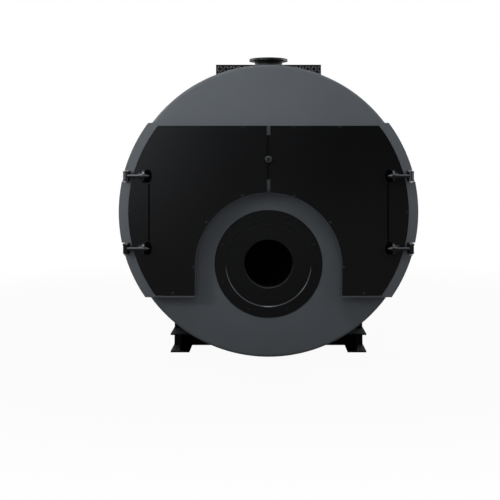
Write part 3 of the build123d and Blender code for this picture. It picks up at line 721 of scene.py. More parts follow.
rivet_corners = 10
waist_share, tip_share, waist_rise = 0.74, 0.25, 0.6
rivet_head, size = open_tree("rivet_head", pan_sizes, takes_material=False)
waist = part_of(rivet_head, size["Head Radius"], waist_share)
waist_height = part_of(rivet_head, size["Head Height"], waist_rise)
lower = taper(rivet_head, rivet_corners, size["Head Radius"], waist, waist_height)
upper = taper(
    rivet_head,
    rivet_corners,
    waist,
    part_of(rivet_head, size["Head Radius"], tip_share),
    part_of(rivet_head, size["Head Height"], 1 - waist_rise),
    fill="NGON",
)
close_head(rivet_head, [lower, lift(rivet_head, upper, waist_height)])
print("screw and rivet head inputs:", list(pan_sizes))

# %% [markdown]
# Larger trees set those heads round a circle or on loose points. An array modifier could repeat
# a head too, but it couldn't turn each by its own angle, as spanners leave them. Here every head
# gets a random angle with a fixed seed, so that each run makes the same boiler.

# %% Trees that set heads round a circle or on points
circle_sizes = {"Count": 8, "Circle Radius": 0.1, "Start Angle": 0.0}


def turned_about(tree, angle):
    """A turn about the upright axis."""
    values = {"Axis": (0, 0, 1), "Angle": angle}
    return add(tree, "FunctionNodeAxisAngleToRotation", values).outputs[0]


def heads_tree(name, head_tree, labels, round_circle=False, smooth=False):
    """Makes the tree that sets a head on each point it is given, or round a circle."""
    more = circle_sizes if round_circle else {}
    tree, size = open_tree(name, {**more, "Seed": 1, **labels}, takes_shape=not round_circle)
    if round_circle:
        values = {"Vertices": size["Count"], "Radius": size["Circle Radius"]}
        circle = add(tree, "GeometryNodeMeshCircle", values).outputs[0]
        start = turned_about(tree, size["Start Angle"])
        points = add(tree, "GeometryNodeTransform", {0: circle, "Rotation": start}).outputs[0]
    else:
        points = size["Shape"]
    head = add(
        tree, "GeometryNodeGroup", {label: size[label] for label in labels}, node_tree=head_tree
    )
    # Input 3 is the largest value that a plain random number may take.
    draw = {3: 2 * math.pi, "Seed": size["Seed"]}
    angle = add(tree, "FunctionNodeRandomValue", draw, data_type="FLOAT").outputs[1]
    heads = copies(tree, points, head.outputs[0], Rotation=turned_about(tree, angle))
    close_tree(tree, size, heads, smooth)
    return tree


bolt_circle = heads_tree("bolt_circle", bolt_head, head_sizes, round_circle=True)
bolt_places = heads_tree("bolt_places", bolt_head, head_sizes)
screw_places = heads_tree("screw_places", screw_head, pan_sizes)
rivet_places = heads_tree("rivet_places", rivet_head, pan_sizes, smooth=True)
print("trees:", [tree.name for tree in bpy.data.node_groups])

# %% [markdown]
# A weld is a bead that follows a joint, with ripples where the pool froze. The tree takes a bare
# line, cuts it into short equal steps, and sweeps a small circle along it whose size rises and
# falls once in each ripple. A bump texture would be lighter, but a bead stands proud and shows
# along an edge. With no ripple the same tree bends round bar, and with a coarse one it makes the
# woven rope that seals the doors.

# %% The bead tree
bead_sizes = {"Bead Radius": 0.0045, "Ripple Pitch": 0.010, "Ripple Depth": 0.14, "Wander": 0.25}
bead_sides = 6
steps_per_ripple = 3.0
wander_scale = 31.0
bead, size = open_tree("bead", bead_sizes, takes_shape=True)
line = add(bead, "GeometryNodeMeshToCurve", {0: size["Shape"]})
step_length = calc(bead, "DIVIDE", size["Ripple Pitch"], steps_per_ripple)
cut = add(bead, "GeometryNodeResampleCurve", {0: line.outputs[0], "Length": step_length}, mode="LENGTH")
along = add(bead, "GeometryNodeSplineParameter").outputs["Length"]
phase = part_of(bead, calc(bead, "DIVIDE", along, size["Ripple Pitch"]), 2 * math.pi)
ripple = calc(bead, "MULTIPLY", calc(bead, "SINE", phase), size["Ripple Depth"])
waver = add(bead, "ShaderNodeTexNoise", {"Scale": wander_scale, "Detail": 1.0}, noise_dimensions="3D")
drift = calc(bead, "MULTIPLY", calc(bead, "SUBTRACT", waver.outputs["Fac"], 0.5), size["Wander"])
swell = calc(bead, "ADD", calc(bead, "ADD", ripple, drift), 1.0)
section = curve_ring(bead, bead_sides, size["Bead Radius"])
swept = sweep(bead, cut.outputs[0], section, **{"Scale": swell, "Fill Caps": True})
close_tree(bead, size, swept, smooth=True)


def weld(finish, points, radius=0.0045, pitch=0.010):
    """A weld along a closed line."""
    return grow(bead, finish, {"Bead Radius": radius, "Ripple Pitch": pitch}, wire(points))


def round_bar(finish, points, radius, pitch, place=None):
    """A smooth round bar along an open line, with three steps to each pitch."""
    sizes = {"Bead Radius": radius, "Ripple Pitch": pitch, "Ripple Depth": 0.0, "Wander": 0.0}
    return grow(bead, finish, sizes, wire(points, closed=False), place)


print("bead inputs:", list(bead_sizes))

# %% [markdown]
# The panels of the doors are held by small black socket screws, only seven on each door. They sit near the
# panels' edges, and one holds the plate between the hinges at the outer edge. No rule spaces them, so
# their places stay a short list.

# %% Panel screws
screw_rows = (
    (0.269, 0.904),
    (0.757, 0.904),
    (0.277, 0.173),
    (0.662, -0.110),
    (0.803, -0.590),
    (1.022, -0.867),
)
edge_screw_x = 1.475
on_panel = facing((0, panel_face_y, axis_z), forward)
on_strip = facing((0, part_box("left_door_strip")[0].y, axis_z), forward)
for side_name, sign in sides:
    panel_spots = [(sign * x, z, 0) for x, z in screw_rows]
    strip_spots = [(sign * edge_screw_x, 0, 0)]
    screws = [
        grow(screw_places, "hinge_black", pan_sizes, only_points(spots), where)
        for spots, where in ((panel_spots, on_panel), (strip_spots, on_strip))
    ]
    settle(f"{side_name}_panel_screws", screws, f"{side_name}_door", "hinge_black")

# %% [markdown]
# Along the inner side of the plate between the hinges runs a black cord, which paints the shadow of the
# seam there. From the front it is the thin black line that joins the two hinges. A long cylinder would do,
# and the bead tree makes the same from the cord's two ends.

# %% Painted seam shadows along the strips between the hinges
seam_shadow_radius = 0.0085
seam_shadow_pitch = 0.02
for side_name, sign in sides:
    strip_low, strip_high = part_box(f"{side_name}_door_strip")
    edge_x = strip_high.x if sign < 0 else strip_low.x
    ends = [(edge_x, panel_face_y, z) for z in (strip_low.z, strip_high.z)]
    # A black cord that paints the seam's shadow.
    seam_shadow = round_bar("black_rubber", ends, seam_shadow_radius, seam_shadow_pitch)
    settle(f"{side_name}_strip_seam_shadow", [seam_shadow], f"{side_name}_door", "black_panel", "black_rubber")

# %% [markdown]
# The burner plate is screwed on with eight hexagon bolts, half a step round from the top, and a
# thin cord of packing shows round its edge. Both circles could be typed in, but worked out from
# the plate's own radius they stay at its edge.

# %% Burner plate's bolts and packing
plate_face_y = plate_low.y
plate_radius = (plate_high.x - plate_low.x) / 2
bolt_inset = 0.045
burner_bolt_sizes = {
    "Count": 8,
    "Circle Radius": plate_radius - bolt_inset,
    "Start Angle": math.radians(22.5),
    "Washer Radius": 0.018,
    "Head Radius": 0.0145,
    "Head Height": 0.009,
}
on_plate = facing((0, plate_face_y, furnace_z), forward)
burner_bolts = grow(bolt_circle, "black_plate", burner_bolt_sizes, place=on_plate)
settle("burner_plate_bolts", [burner_bolts], "root", "black_plate")

packing_sizes = {"Bead Radius": 0.005, "Ripple Pitch": 0.012, "Ripple Depth": 0.10, "Wander": 0.1}
packing_sunk = 0.001
packing_proud = 0.003
packing_line = ring(plate_radius - packing_sunk, spot(-packing_proud, 0, furnace_z), forward, steps=180)
packing = grow(bead, "black_plate", packing_sizes, wire(packing_line))
settle("burner_plate_packing", [packing], "root", "black_plate")

# %% [markdown]
# The plate has a turned groove whose outer edge is worn bright. One open cone, turned inside out
# so that it faces the axis, lines that edge and catches the light as a thin arc. A bright line
# in the plate's finish would look alike from all sides, and a real slope doesn't.

# %% The turned edge of the plate's groove
edge_sizes = {"Outer Radius": 0.470, "Edge Width": 0.010, "Edge Depth": 0.006}
edge_steps = 180
turned_edge, size = open_tree("turned_edge", edge_sizes)
edge_foot = calc(turned_edge, "SUBTRACT", size["Outer Radius"], size["Edge Width"])
edge_cone = taper(turned_edge, edge_steps, edge_foot, size["Outer Radius"], size["Edge Depth"])
inward = add(turned_edge, "GeometryNodeFlipFaces", {0: edge_cone})
close_tree(turned_edge, size, inward.outputs[0], smooth=True)
edge_place = facing((0, plate_face_y + edge_sizes["Edge Depth"], furnace_z), forward)
groove_edge = grow(turned_edge, "worn_edge", edge_sizes, place=edge_place)
settle("burner_plate_edge", [groove_edge], "root", "black_plate", "worn_edge")

# %% [markdown]
# Behind the gap between the doors, a black plate lies on the grey post as painted shade: it darkens the
# middle of the deep gap, where the doors shade it. It is shorter than the gap, so the grey shows above and
# below it. A bevelled box is all that it needs.

# %% Painted shade behind the knob
post_low, post_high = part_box("centre_post")
knob_low, knob_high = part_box("door_knob")
knob_z = (knob_high.z + knob_low.z) / 2
gap_shade_above = 0.262
gap_shade_below = 0.215
gap_shade_thickness = 0.008
gap_shade_bevel = 0.0015


def bevelled_box(width, depth, height, bevel):
    """A box round the origin with small bevels on its edges."""
    shape = bmesh.new()
    bmesh.ops.create_cube(shape, size=1.0)
    bmesh.ops.scale(shape, vec=(width, depth, height), verts=shape.verts)
    bmesh.ops.bevel(shape, geom=shape.edges[:], offset=bevel, segments=1, affect="EDGES")
    return mesh_of(shape, "box")


# A black plate that paints the shade in the middle of the gap between the doors.
gap_shade = bevelled_box(post_high.x - post_low.x, gap_shade_thickness, gap_shade_above + gap_shade_below, gap_shade_bevel)
gap_shade_middle_z = knob_z + (gap_shade_above - gap_shade_below) / 2
gap_shade.transform(Matrix.Translation((0, post_low.y - gap_shade_thickness / 2, gap_shade_middle_z)))
settle("gap_shade_plate", [gap_shade], "root", "black_panel")

# %% [markdown]
# A black oval lies on the door under the round disc of each hinge arm, as a painted shadow of the disc.
# Seen from the front it sets the bright arm off from the panel. The disc stands a few millimetres clear.
# It needs no tree: a low cone, scaled to an oval, has a slightly smaller top.

# %% Painted shadows under the hinges' discs
hinge_rise = 0.385
hinge_heights = (axis_z - hinge_rise, axis_z + hinge_rise)
shade_pad_x = 1.286
shade_pad_width = 0.080
shade_pad_height = 0.145
shade_pad_thickness = 0.003
shade_pad_top = 0.95


def oval_shade_pad():
    """A flat oval on the origin, with its own Z out of its face and a slightly smaller top."""
    shape = bmesh.new()
    bmesh.ops.create_cone(
        shape, cap_ends=True, segments=40, radius1=0.5, radius2=0.5 * shade_pad_top, depth=1.0
    )
    bmesh.ops.translate(shape, vec=(0, 0, 0.5), verts=shape.verts)
    bmesh.ops.scale(shape, vec=(shade_pad_width, shade_pad_height, shade_pad_thickness), verts=shape.verts)
    return mesh_of(shape, "shade_pad")


# Each black oval paints the shadow of a hinge's disc on the panel.
for side_name, sign in sides:
    shade_pads = []
    for z in hinge_heights:
        shade_pad = oval_shade_pad()
        shade_pad.transform(facing((sign * shade_pad_x, panel_face_y, z), forward))
        shade_pads.append(shade_pad)
    settle(f"{side_name}_hinge_shade_pads", shade_pads, f"{side_name}_door", "black_panel", "black_rubber")

# %% [markdown]
# The knob is held by a nut on its stud, and it has grip ribs round its side. The pins of the
# hinges stand in the brackets from above, each with a nut below. Ribs and nuts come from the
# same trees as bars and bolts, so only their sizes and places are new.

# %% Knob and hinge pins
one_point = [(0, 0, 0)]
nut_sizes = {"Washer Radius": 0.017, "Head Radius": 0.0125, "Head Height": 0.008, "Stud Radius": 0.0065}
nut_place = facing((0, knob_low.y, knob_z), forward)
knob_nut = grow(bolt_places, "black_plate", nut_sizes, only_points(one_point), nut_place)
settle("knob_nut", [knob_nut], "root", "black_plate")

rib_count = 20
rib_radius = 0.0022
rib_pitch = 0.015
rib_start = 0.011
rib_length = 0.016
rib_sunk = 0.0005
rib_circle = (knob_high.x - knob_low.x) / 2 - rib_sunk
knob_ribs = []
for step in range(rib_count):
    angle = 2 * math.pi * step / rib_count
    rib_x, rib_z = rib_circle * math.cos(angle), knob_z + rib_circle * math.sin(angle)
    rib_line = [(rib_x, knob_low.y + rib_start + along, rib_z) for along in (0, rib_length)]
    knob_ribs.append(round_bar("knob_grey", rib_line, rib_radius, rib_pitch))
settle("knob_grip", knob_ribs, "root", "hinge_black", "knob_grey")

pin_low, pin_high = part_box("hinge_pins")
pin_x = 1.508
pin_y = (pin_low.y + pin_high.y) / 2
fork_half = 0.0523
pin_nut_sizes = {"Head Radius": 0.0205, "Head Height": 0.014, "Washer Radius": 0.022}
pin_nuts = []
for sign in (-1, 1):
    for z in hinge_heights:
        under_fork = facing((sign * pin_x, pin_y, z - fork_half), downward)
        pin_nuts.append(grow(bolt_places, "pin_steel", pin_nut_sizes, only_points(one_point), under_fork))
settle("hinge_pin_nuts", pin_nuts, "root", "pin_steel")

# %% [markdown]
# Each hinge arm stands on a square foot that is welded to the door. The brackets and the centre
# post are welded to the front head. Each weld follows the rectangle where the two pieces meet,
# and its four corners are all that the bead tree has to be told.

# %% Welds of the doors and the front
foot_x = 1.360
foot_half = 0.028
bracket_x = (1.480, 1.530)


def upright_box(low_x, high_x, low_z, high_z, y):
    """The four corners of an upright rectangle."""
    return [(low_x, y, low_z), (high_x, y, low_z), (high_x, y, high_z), (low_x, y, high_z)]


for side_name, sign in sides:
    arm_welds = []
    for z in hinge_heights:
        x = sign * foot_x
        foot = upright_box(x - foot_half, x + foot_half, z - foot_half, z + foot_half, panel_face_y)
        arm_welds.append(weld("hinge_black", foot))
    settle(f"{side_name}_arm_welds", arm_welds, f"{side_name}_door", "hinge_black")

head_welds = [weld("casing_grey", upright_box(post_low.x, post_high.x, post_low.z, post_high.z, front_y))]
for sign in (-1, 1):
    for z in hinge_heights:
        inner_x, outer_x = [sign * x for x in bracket_x]
        bracket = upright_box(inner_x, outer_x, z - fork_half, z + fork_half, front_y)
        head_welds.append(weld("casing_grey", bracket))
settle("front_head_welds", head_welds, "root", "casing_grey")

# %% [markdown]
# The insulation's sheet casing is laid on in courses. A narrow riveted strap covers the joint
# of two courses, and each course closes along its length with a riveted seam low on one side.
# Drawn as a texture they would be missed along the casing's outline. The strap's tree sweeps a
# flat rectangle round a circle and sets two rows of rivets on it, each turned to stand on it.

# %% The strap tree
strap_sizes = {
    "Ring Radius": 1.6,
    "Strap Width": 0.05,
    "Strap Height": 0.0012,
    "Rivets": 48,
    "Row Spread": 0.015,
    **pan_sizes,
}
strap_steps = 192
strap, size = open_tree("strap", strap_sizes)
track = curve_ring(strap, strap_steps, size["Ring Radius"])
flat = curve_box(strap, part_of(strap, size["Strap Height"], 2.0), size["Strap Width"])
band = sweep(strap, track, flat)
rivet_circle = add(
    strap,
    "GeometryNodeMeshCircle",
    {"Vertices": size["Rivets"], "Radius": calc(strap, "ADD", size["Ring Radius"], size["Strap Height"])},
)
from_axis = add(strap, "GeometryNodeInputPosition").outputs[0]
outwards = add(strap, "FunctionNodeAlignRotationToVector", {"Vector": from_axis}, axis="Z")
rivet = add(
    strap, "GeometryNodeGroup", {label: size[label] for label in pan_sizes}, node_tree=rivet_head
)
row = copies(strap, rivet_circle.outputs[0], rivet.outputs[0], Rotation=outwards.outputs[0])
one_side = lift(strap, row, size["Row Spread"])
other_side = lift(strap, row, part_of(strap, size["Row Spread"], -1.0))
close_tree(strap, size, join(strap, [band, one_side, other_side]))
print("strap inputs:", list(strap_sizes))

# %% [markdown]
# Five straps cover the joints, the first and the last close to the heads. Each is the same run
# of the tree at its own depth. The shell is already as wide as the whole boiler, so the little
# of a strap that would stand out at the sides is set back to that width.

# %% Casing straps
strap_depths = (0.092, 1.53, 3.0, 4.47, 5.908)
strap_height = strap_sizes["Strap Height"]
strap_half = strap_sizes["Strap Width"] / 2
strap_rivet = {"Head Radius": 0.0045, "Head Height": 0.0018}
half_step = Matrix.Rotation(math.pi / strap_sizes["Rivets"], 4, "Z")


def within_width(mesh):
    """Sets back the little that would stand outside the boiler's width."""
    for vertex in mesh.vertices:
        vertex.co.x = min(max(vertex.co.x, cad_low.x), cad_high.x)
    return mesh


straps = []
for depth in strap_depths:
    strap_place = facing(spot(depth, 0, axis_z), backward) @ half_step
    round_shell = {**strap_rivet, "Ring Radius": shell_radius}
    straps.append(within_width(grow(strap, "casing_grey", round_shell, place=strap_place)))
settle("casing_straps", straps, "root", "casing_grey")

# %% [markdown]
# Between the straps lie four seams, each a thin bevelled box along the casing with its own two
# rows of rivets. A seam is made flat at the origin and then stood on the round casing, which is
# simpler than to work out every rivet on the curve. Neighbours lie on opposite sides, as a
# fitter staggers them.

# %% Casing seams
seam_width = 0.05
seam_bevel = 0.0005
seam_angle = math.radians(-38)
seam_rivet_pitch = 0.06
seam_rivet_x = 0.014
lengthwise = Vector(backward)
seams = []
for number in range(len(strap_depths) - 1):
    start_depth = strap_depths[number] + strap_half
    end_depth = strap_depths[number + 1] - strap_half
    length = end_depth - start_depth
    side_sign = -1 if number % 2 else 1
    out = Vector((side_sign * math.cos(seam_angle), 0, math.sin(seam_angle)))
    middle = spot((start_depth + end_depth) / 2, 0, axis_z) + out * shell_radius
    turn = Matrix((lengthwise.cross(out), lengthwise, out)).transposed().to_4x4()
    seam_place = Matrix.Translation(middle) @ turn
    seam = bevelled_box(seam_width, length, 2 * strap_height, seam_bevel)
    seam.transform(seam_place)
    count = int(length / seam_rivet_pitch)
    rivet_points = [
        (x, (step + 0.5) * length / count - length / 2, strap_height)
        for step in range(count)
        for x in (-seam_rivet_x, seam_rivet_x)
    ]
    rivets = grow(rivet_places, "casing_grey", strap_rivet, only_points(rivet_points), seam_place)
    seams += [seam, rivets]
settle("casing_seams", seams, "root", "casing_grey")

# %% [markdown]
# On top, each nozzle is welded to the shell along a saddle line: the line where an upright
# cylinder meets a lying one. Cutting one mesh with the other would find it too, but its height
# at every point follows from the lying cylinder alone, and so the points come out evenly.

# %% Welds of the nozzles
nozzle_pipe = 0.16195
safety_pipe = 0.05715
neck_radius = 0.250


def crown_height(x):
    """The casing's height above a place that is x off the middle."""
    return axis_z + math.sqrt(shell_radius**2 - x**2)


def saddle_ring(radius, depth, steps=120):
    """The line where an upright cylinder meets the lying casing."""
    points = []
    for step in range(steps):
        angle = 2 * math.pi * step / steps
        x = radius * math.cos(angle)
        points.append(spot(depth + radius * math.sin(angle), x, crown_height(x)))
    return points


def node_depth(name):
    """The depth of a node's middle behind the front face."""
    low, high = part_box(name)
    return (low.y + high.y) / 2 - front_y


flow_depth = node_depth("flow_nozzle")
return_depth = node_depth("return_nozzle")
safety_depth = node_depth("safety_nozzle")
manhole_depth = node_depth("manhole_neck")
nozzle_lines = [
    saddle_ring(nozzle_pipe, flow_depth),
    saddle_ring(nozzle_pipe, return_depth),
    saddle_ring(safety_pipe, safety_depth),
    saddle_ring(neck_radius, manhole_depth),
]
nozzle_welds = [weld("pipe_black", points, radius=0.006, pitch=0.012) for points in nozzle_lines]
settle("nozzle_welds", nozzle_welds, "root", "pipe_black")

# %% [markdown]
# The two lifting lugs stand along the casing's crown, which is level there and nearly flat over
# their thickness. A saddle line would be more than they need: four corners at its height do.

# %% Welds of the lifting lugs
lug_half = 0.110
lug_low, lug_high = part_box("lifting_lugs")
lug_middles = (lug_low.y + lug_half, lug_high.y - lug_half)
lug_welds = []
for y in lug_middles:
    low_y, high_y, z = y - lug_half, y + lug_half, crown_height(0)
    foot = [(lug_low.x, low_y, z), (lug_high.x, low_y, z), (lug_high.x, high_y, z), (lug_low.x, high_y, z)]
    lug_welds.append(weld("casing_grey", foot, radius=0.007))
settle("lug_welds", lug_welds, "root", "casing_grey")

# %% [markdown]
# The three saddles stand on the beams and follow the round casing above. Their welds run round
# the plate and the rib, level at the foot and sloping at the top. A rectangle's corners alone
# would cut straight across the curve, so its outline has points in between.

# %% Welds of the saddles
beam_x = 1.040
beam_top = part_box("base_beam_left")[1].z
saddle_depths = (1.14, 3.17, 5.20)
plate_half = (0.100, 0.012)
rib_half = (0.008, 0.090)


def under_casing(x):
    """The casing's height over the floor on its lower half."""
    return axis_z - math.sqrt(shell_radius**2 - x**2)


def box_line(x, depth, half_x, half_depth, steps=8):
    """A rectangle's outline in plan, with points close enough to follow the casing."""
    rising = [x - half_x + 2 * half_x * step / steps for step in range(steps)] + [x + half_x]
    falling = [x + half_x - 2 * half_x * step / steps for step in range(steps)] + [x - half_x]
    return [(a, depth - half_depth) for a in rising] + [(a, depth + half_depth) for a in falling]


saddle_welds = []
for depth in saddle_depths:
    for sign in (-1, 1):
        for half_x, half_depth in (plate_half, rib_half):
            outline = box_line(sign * beam_x, depth, half_x, half_depth)
            foot_line = [spot(d, x, beam_top) for x, d in outline]
            head_line = [spot(d, x, under_casing(x)) for x, d in outline]
            for points in (foot_line, head_line):
                saddle_welds.append(weld("frame_black", points, radius=0.005, pitch=0.014))
settle("saddle_welds", saddle_welds, "root", "frame_black")

# %% [markdown]
# The walkway is tread plate: low oval studs in rows, each at right angles to its neighbours. A
# bump texture would do from afar, but worn studs catch the light at their edges, so they are
# made. The tree stretches one tapered blank to an oval, sets it on each place that it is given
# and turns it by the angle that the place carries.

# %% The tread tree
stud_sizes = {"Stud Length": 0.036, "Stud Breadth": 0.011, "Stud Height": 0.0018}
blank_corners, blank_foot, blank_top = 8, 0.5, 0.30
tread, size = open_tree("tread", stud_sizes, takes_shape=True)
blank = taper(tread, blank_corners, blank_foot, blank_top, 1.0, fill="NGON")
scaled = add(
    tread,
    "ShaderNodeCombineXYZ",
    {"X": size["Stud Length"], "Y": size["Stud Breadth"], "Z": size["Stud Height"]},
)
turn = add(tread, "GeometryNodeInputNamedAttribute", {"Name": "turn"}, data_type="FLOAT")
spin = turned_about(tread, turn.outputs[0])
close_tree(tread, size, copies(tread, size["Shape"], blank, Rotation=spin, Scale=scaled.outputs[0]))
print("tread inputs:", list(stud_sizes))

# %% [markdown]
# The studs' places are a square grid in the middle of each sheet, without those too near an
# opening or the casing, and every second stud has the other turn. A real sheet is cut through
# its studs. Whole ones left out look the same from any distance and leave no slivers.

# %% Places of the tread studs
tread_pitch = 0.036
tread_margin = 0.018
stud_turn = math.radians(45)
nozzle_hole, safety_hole, manhole_hole = 0.245, 0.125, 0.305
round_holes = (
    (flow_depth, nozzle_hole),
    (return_depth, nozzle_hole),
    (safety_depth, safety_hole),
    (manhole_depth, manhole_hole),
)
slot_depth = lug_middles[0] - front_y
slot_half_x, slot_half_depth = 0.030, 0.125


def deck_is_free(x, depth):
    """Says whether a stud fits at this place on the deck."""
    for hole_depth, radius in round_holes:
        if x * x + (depth - hole_depth) ** 2 < (radius + tread_margin) ** 2:
            return False
    beside_slot = abs(x) >= slot_half_x + tread_margin
    clear_of_slot = abs(depth - slot_depth) >= slot_half_depth + tread_margin
    return beside_slot or clear_of_slot


def panel_is_free(x, z):
    """Says whether a stud fits at this place on the upright front panel."""
    return crown_height(abs(x)) + tread_margin < z


def stud_grid(low_x, high_x, low_y, high_y, is_free):
    """Places on a square grid, with the angle that each stud is turned by."""
    across_count = int((high_x - low_x - 2 * tread_margin) / tread_pitch)
    along_count = int((high_y - low_y - 2 * tread_margin) / tread_pitch)
    first_x = (low_x + high_x - across_count * tread_pitch) / 2
    first_y = (low_y + high_y - along_count * tread_pitch) / 2
    places, turns = [], []
    for column in range(across_count + 1):
        for row in range(along_count + 1):
            x = first_x + column * tread_pitch
            y = first_y + row * tread_pitch
            if is_free(x, y):
                places.append((x, y, 0))
                turns.append(stud_turn if (column + row) % 2 else -stud_turn)
    cloud = only_points(places)
    angles = cloud.attributes.new("turn", "FLOAT", "POINT")
    angles.data.foreach_set("value", turns)
    return cloud


print("studs every", tread_pitch, "m, clear of openings by", tread_margin, "m")

# %% [markdown]
# The decks lie flat, so their studs are only moved up onto them. The front panel stands upright:
# its grid is worked out in width and height and then turned to face forward, which saves a rule
# of its own. The studs have a paler finish than the sheet, because wear takes the black off
# whatever stands out.

# %% Tread studs on the decks and the front panel
deck_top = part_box("walkway_deck_front")[1].z
for name in ("walkway_deck_front", "walkway_deck_rear"):
    low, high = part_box(name)
    cloud = stud_grid(low.x, high.x, low.y - front_y, high.y - front_y, deck_is_free)
    treads = grow(tread, "worn_stud", stud_sizes, cloud, Matrix.Translation((0, front_y, deck_top)))
    settle(f"{name}_studs", [treads], "root", "tread_plate", "worn_stud")

low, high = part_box("walkway_front_panel")
cloud = stud_grid(low.x, high.x, low.z, high.z, panel_is_free)
treads = grow(tread, "worn_stud", stud_sizes, cloud, facing((0, low.y, 0), forward))
settle("walkway_front_panel_studs", [treads], "root", "tread_plate", "worn_stud")

# %% [markdown]
# Behind the doors, every smoke tube comes a little way through the tube sheet and is welded to
# it. The holes' layout is a rule, a triangle grid kept clear of the chamber's walls, and the same
# rule gives the places here. Each place gets a short open tube and a ring of weld.

# %% Places of the smoke tubes
tube_pitch = 0.172
tube_room = 0.102
chamber_radius = 1.440
chamber_top = 0.860
arch_wall_radius = 0.850
post_half = 0.030
furnace_drop = axis_z - furnace_z


def tube_places():
    """Both halves' tube places, as x and height over the boiler's axis."""
    row_step = tube_pitch * math.sin(math.radians(60))
    rows = int((2 * chamber_top - 2 * tube_room) / row_step)
    places = []
    for row in range(rows + 1):
        z = chamber_top - tube_room - row * row_step
        x = post_half + tube_room + (tube_pitch / 2 if row % 2 else 0.0)
        while x * x + z * z < (chamber_radius - tube_room) ** 2:
            above_arch = x * x + (z + furnace_drop) ** 2 > (arch_wall_radius + tube_room) ** 2
            beside_arch = z > -furnace_drop or x > arch_wall_radius + tube_room
            if above_arch and beside_arch:
                places += [(x, z, 0), (-x, z, 0)]
            x += tube_pitch
    return places


tube_spots = tube_places()
print("smoke tubes:", len(tube_spots))

# %% [markdown]
# A tube's end is its wall swept round the middle of that wall, and its weld is a thin ring swept
# round the outside. Both are made once, and the tree sets a copy on every place.

# %% The tube end tree
tube_sizes = {"Tube Radius": 0.0385, "Tube Wall": 0.004, "Stand Out": 0.006, "Weld Radius": 0.0035}
tube_steps = 24
tube_end, size = open_tree("tube_end", tube_sizes, takes_shape=True)
half_wall = part_of(tube_end, size["Tube Wall"], 0.5)
wall_radius = calc(tube_end, "SUBTRACT", size["Tube Radius"], half_wall)
wall_section = curve_box(tube_end, size["Tube Wall"], part_of(tube_end, size["Stand Out"], 2.0))
lip = sweep(tube_end, curve_ring(tube_end, tube_steps, wall_radius), wall_section)
weld_track = curve_ring(tube_end, tube_steps, size["Tube Radius"])
weld_ring = sweep(tube_end, weld_track, curve_ring(tube_end, bead_sides, size["Weld Radius"]))
close_tree(tube_end, size, copies(tube_end, size["Shape"], join(tube_end, [lip, weld_ring])))
on_sheet = facing((0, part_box("tube_sheet")[0].y, axis_z), forward)
tube_ends = grow(tube_end, "chamber_steel", tube_sizes, only_points(tube_spots), on_sheet)
settle("smoke_tube_ends", [tube_ends], "root", "chamber_steel")

# %% [markdown]
# On its back, each door has a woven rope in the frame round its lining, which seals the
# chamber. The fibre blocks of the lining are held by steel pins with round washers. Both follow
# the door's outline: the rope runs round it, and a grid of washers keeps its distance from it.
# The outline is told once, for the right door, and mirrored for the left.

# %% The doors' outline and the places of the washers
rope_outer, rope_inner, rope_arch = 1.454, 0.095, 0.802
rope_low, rope_high = -0.890, 0.933
washer_room = 0.110
washer_pitch = 0.21
washer_columns, washer_rows = 7, 9
first_washer = (0.215, -0.75)


def arc(radius, first, last, drop=0.0, steps=36):
    """Points along a part of a circle, as x and z."""
    angles = [first + (last - first) * step / steps for step in range(steps + 1)]
    return [(radius * math.cos(a), radius * math.sin(a) - drop) for a in angles]


def lining_holds(x, z):
    """Says whether a washer fits on the lining at this place of the right door."""
    in_band = rope_low + washer_room < z < rope_high - washer_room
    in_round = x * x + z * z < (rope_outer - washer_room) ** 2
    off_arch = x * x + (z + furnace_drop) ** 2 > (rope_arch + washer_room) ** 2
    beside = z > -furnace_drop or x > rope_arch + washer_room
    return in_band and in_round and off_arch and beside and x > rope_inner + washer_room


rope_line = [
    (rope_inner, rope_high),
    *arc(rope_outer, math.asin(rope_high / rope_outer), math.asin(rope_low / rope_outer)),
    (rope_arch, rope_low),
    *arc(rope_arch, 0.0, math.acos(rope_inner / rope_arch), furnace_drop),
]
washer_spots = [
    (first_washer[0] + washer_pitch * column, first_washer[1] + washer_pitch * row)
    for column in range(washer_columns)
    for row in range(washer_rows)
]
print("points in the rope's line:", len(rope_line), "washers tried:", len(washer_spots))

# %% [markdown]
# Woven rope is round and knobbly, which is the bead again, thick and with a coarse ripple. A
# washer with its pin is the bolt again, very flat. A body's name in the last call of each piece
# lets it swing with its own door.

# %% Rope seals and lining washers
rope_ahead = 0.0110
rope_sizes = {"Bead Radius": 0.0095, "Ripple Pitch": 0.016, "Ripple Depth": 0.09, "Wander": 0.06}
washer_sizes = {
    "Washer Radius": 0.022,
    "Washer Height": 0.0012,
    "Head Radius": 0.006,
    "Head Height": 0.0015,
    "Stud Radius": 0.003,
    "Stud Height": 0.001,
    "Seed": 3,
}
on_lining = facing((0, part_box("left_door_lining")[1].y, axis_z), backward)
for side_name, sign in sides:
    body = f"{side_name}_door"
    rope_points = [spot(-rope_ahead, sign * x, axis_z + z) for x, z in rope_line]
    rope = grow(bead, "sooty_rope", rope_sizes, wire(rope_points))
    settle(f"{side_name}_door_rope", [rope], body, "fibre_lining", "sooty_rope")
    held = [(-sign * x, z, 0) for x, z in washer_spots if lining_holds(x, z)]
    washers = grow(bolt_places, "pin_steel", washer_sizes, only_points(held), on_lining)
    settle(f"{side_name}_lining_washers", [washers], body, "pin_steel")

# %% [markdown]
# At the rear and on top, covers are bolted down all round and have handles of bent round bar.
# Three straight bars would make a handle too, but with sharp corners. So a handle is one line
# whose corners are rounded before it is swept, and the bar bends and doesn't crease.

# %% Handles
bar_radius = 0.008
bar_pitch = 0.018
bend_radius = 0.03
bend_steps = 6


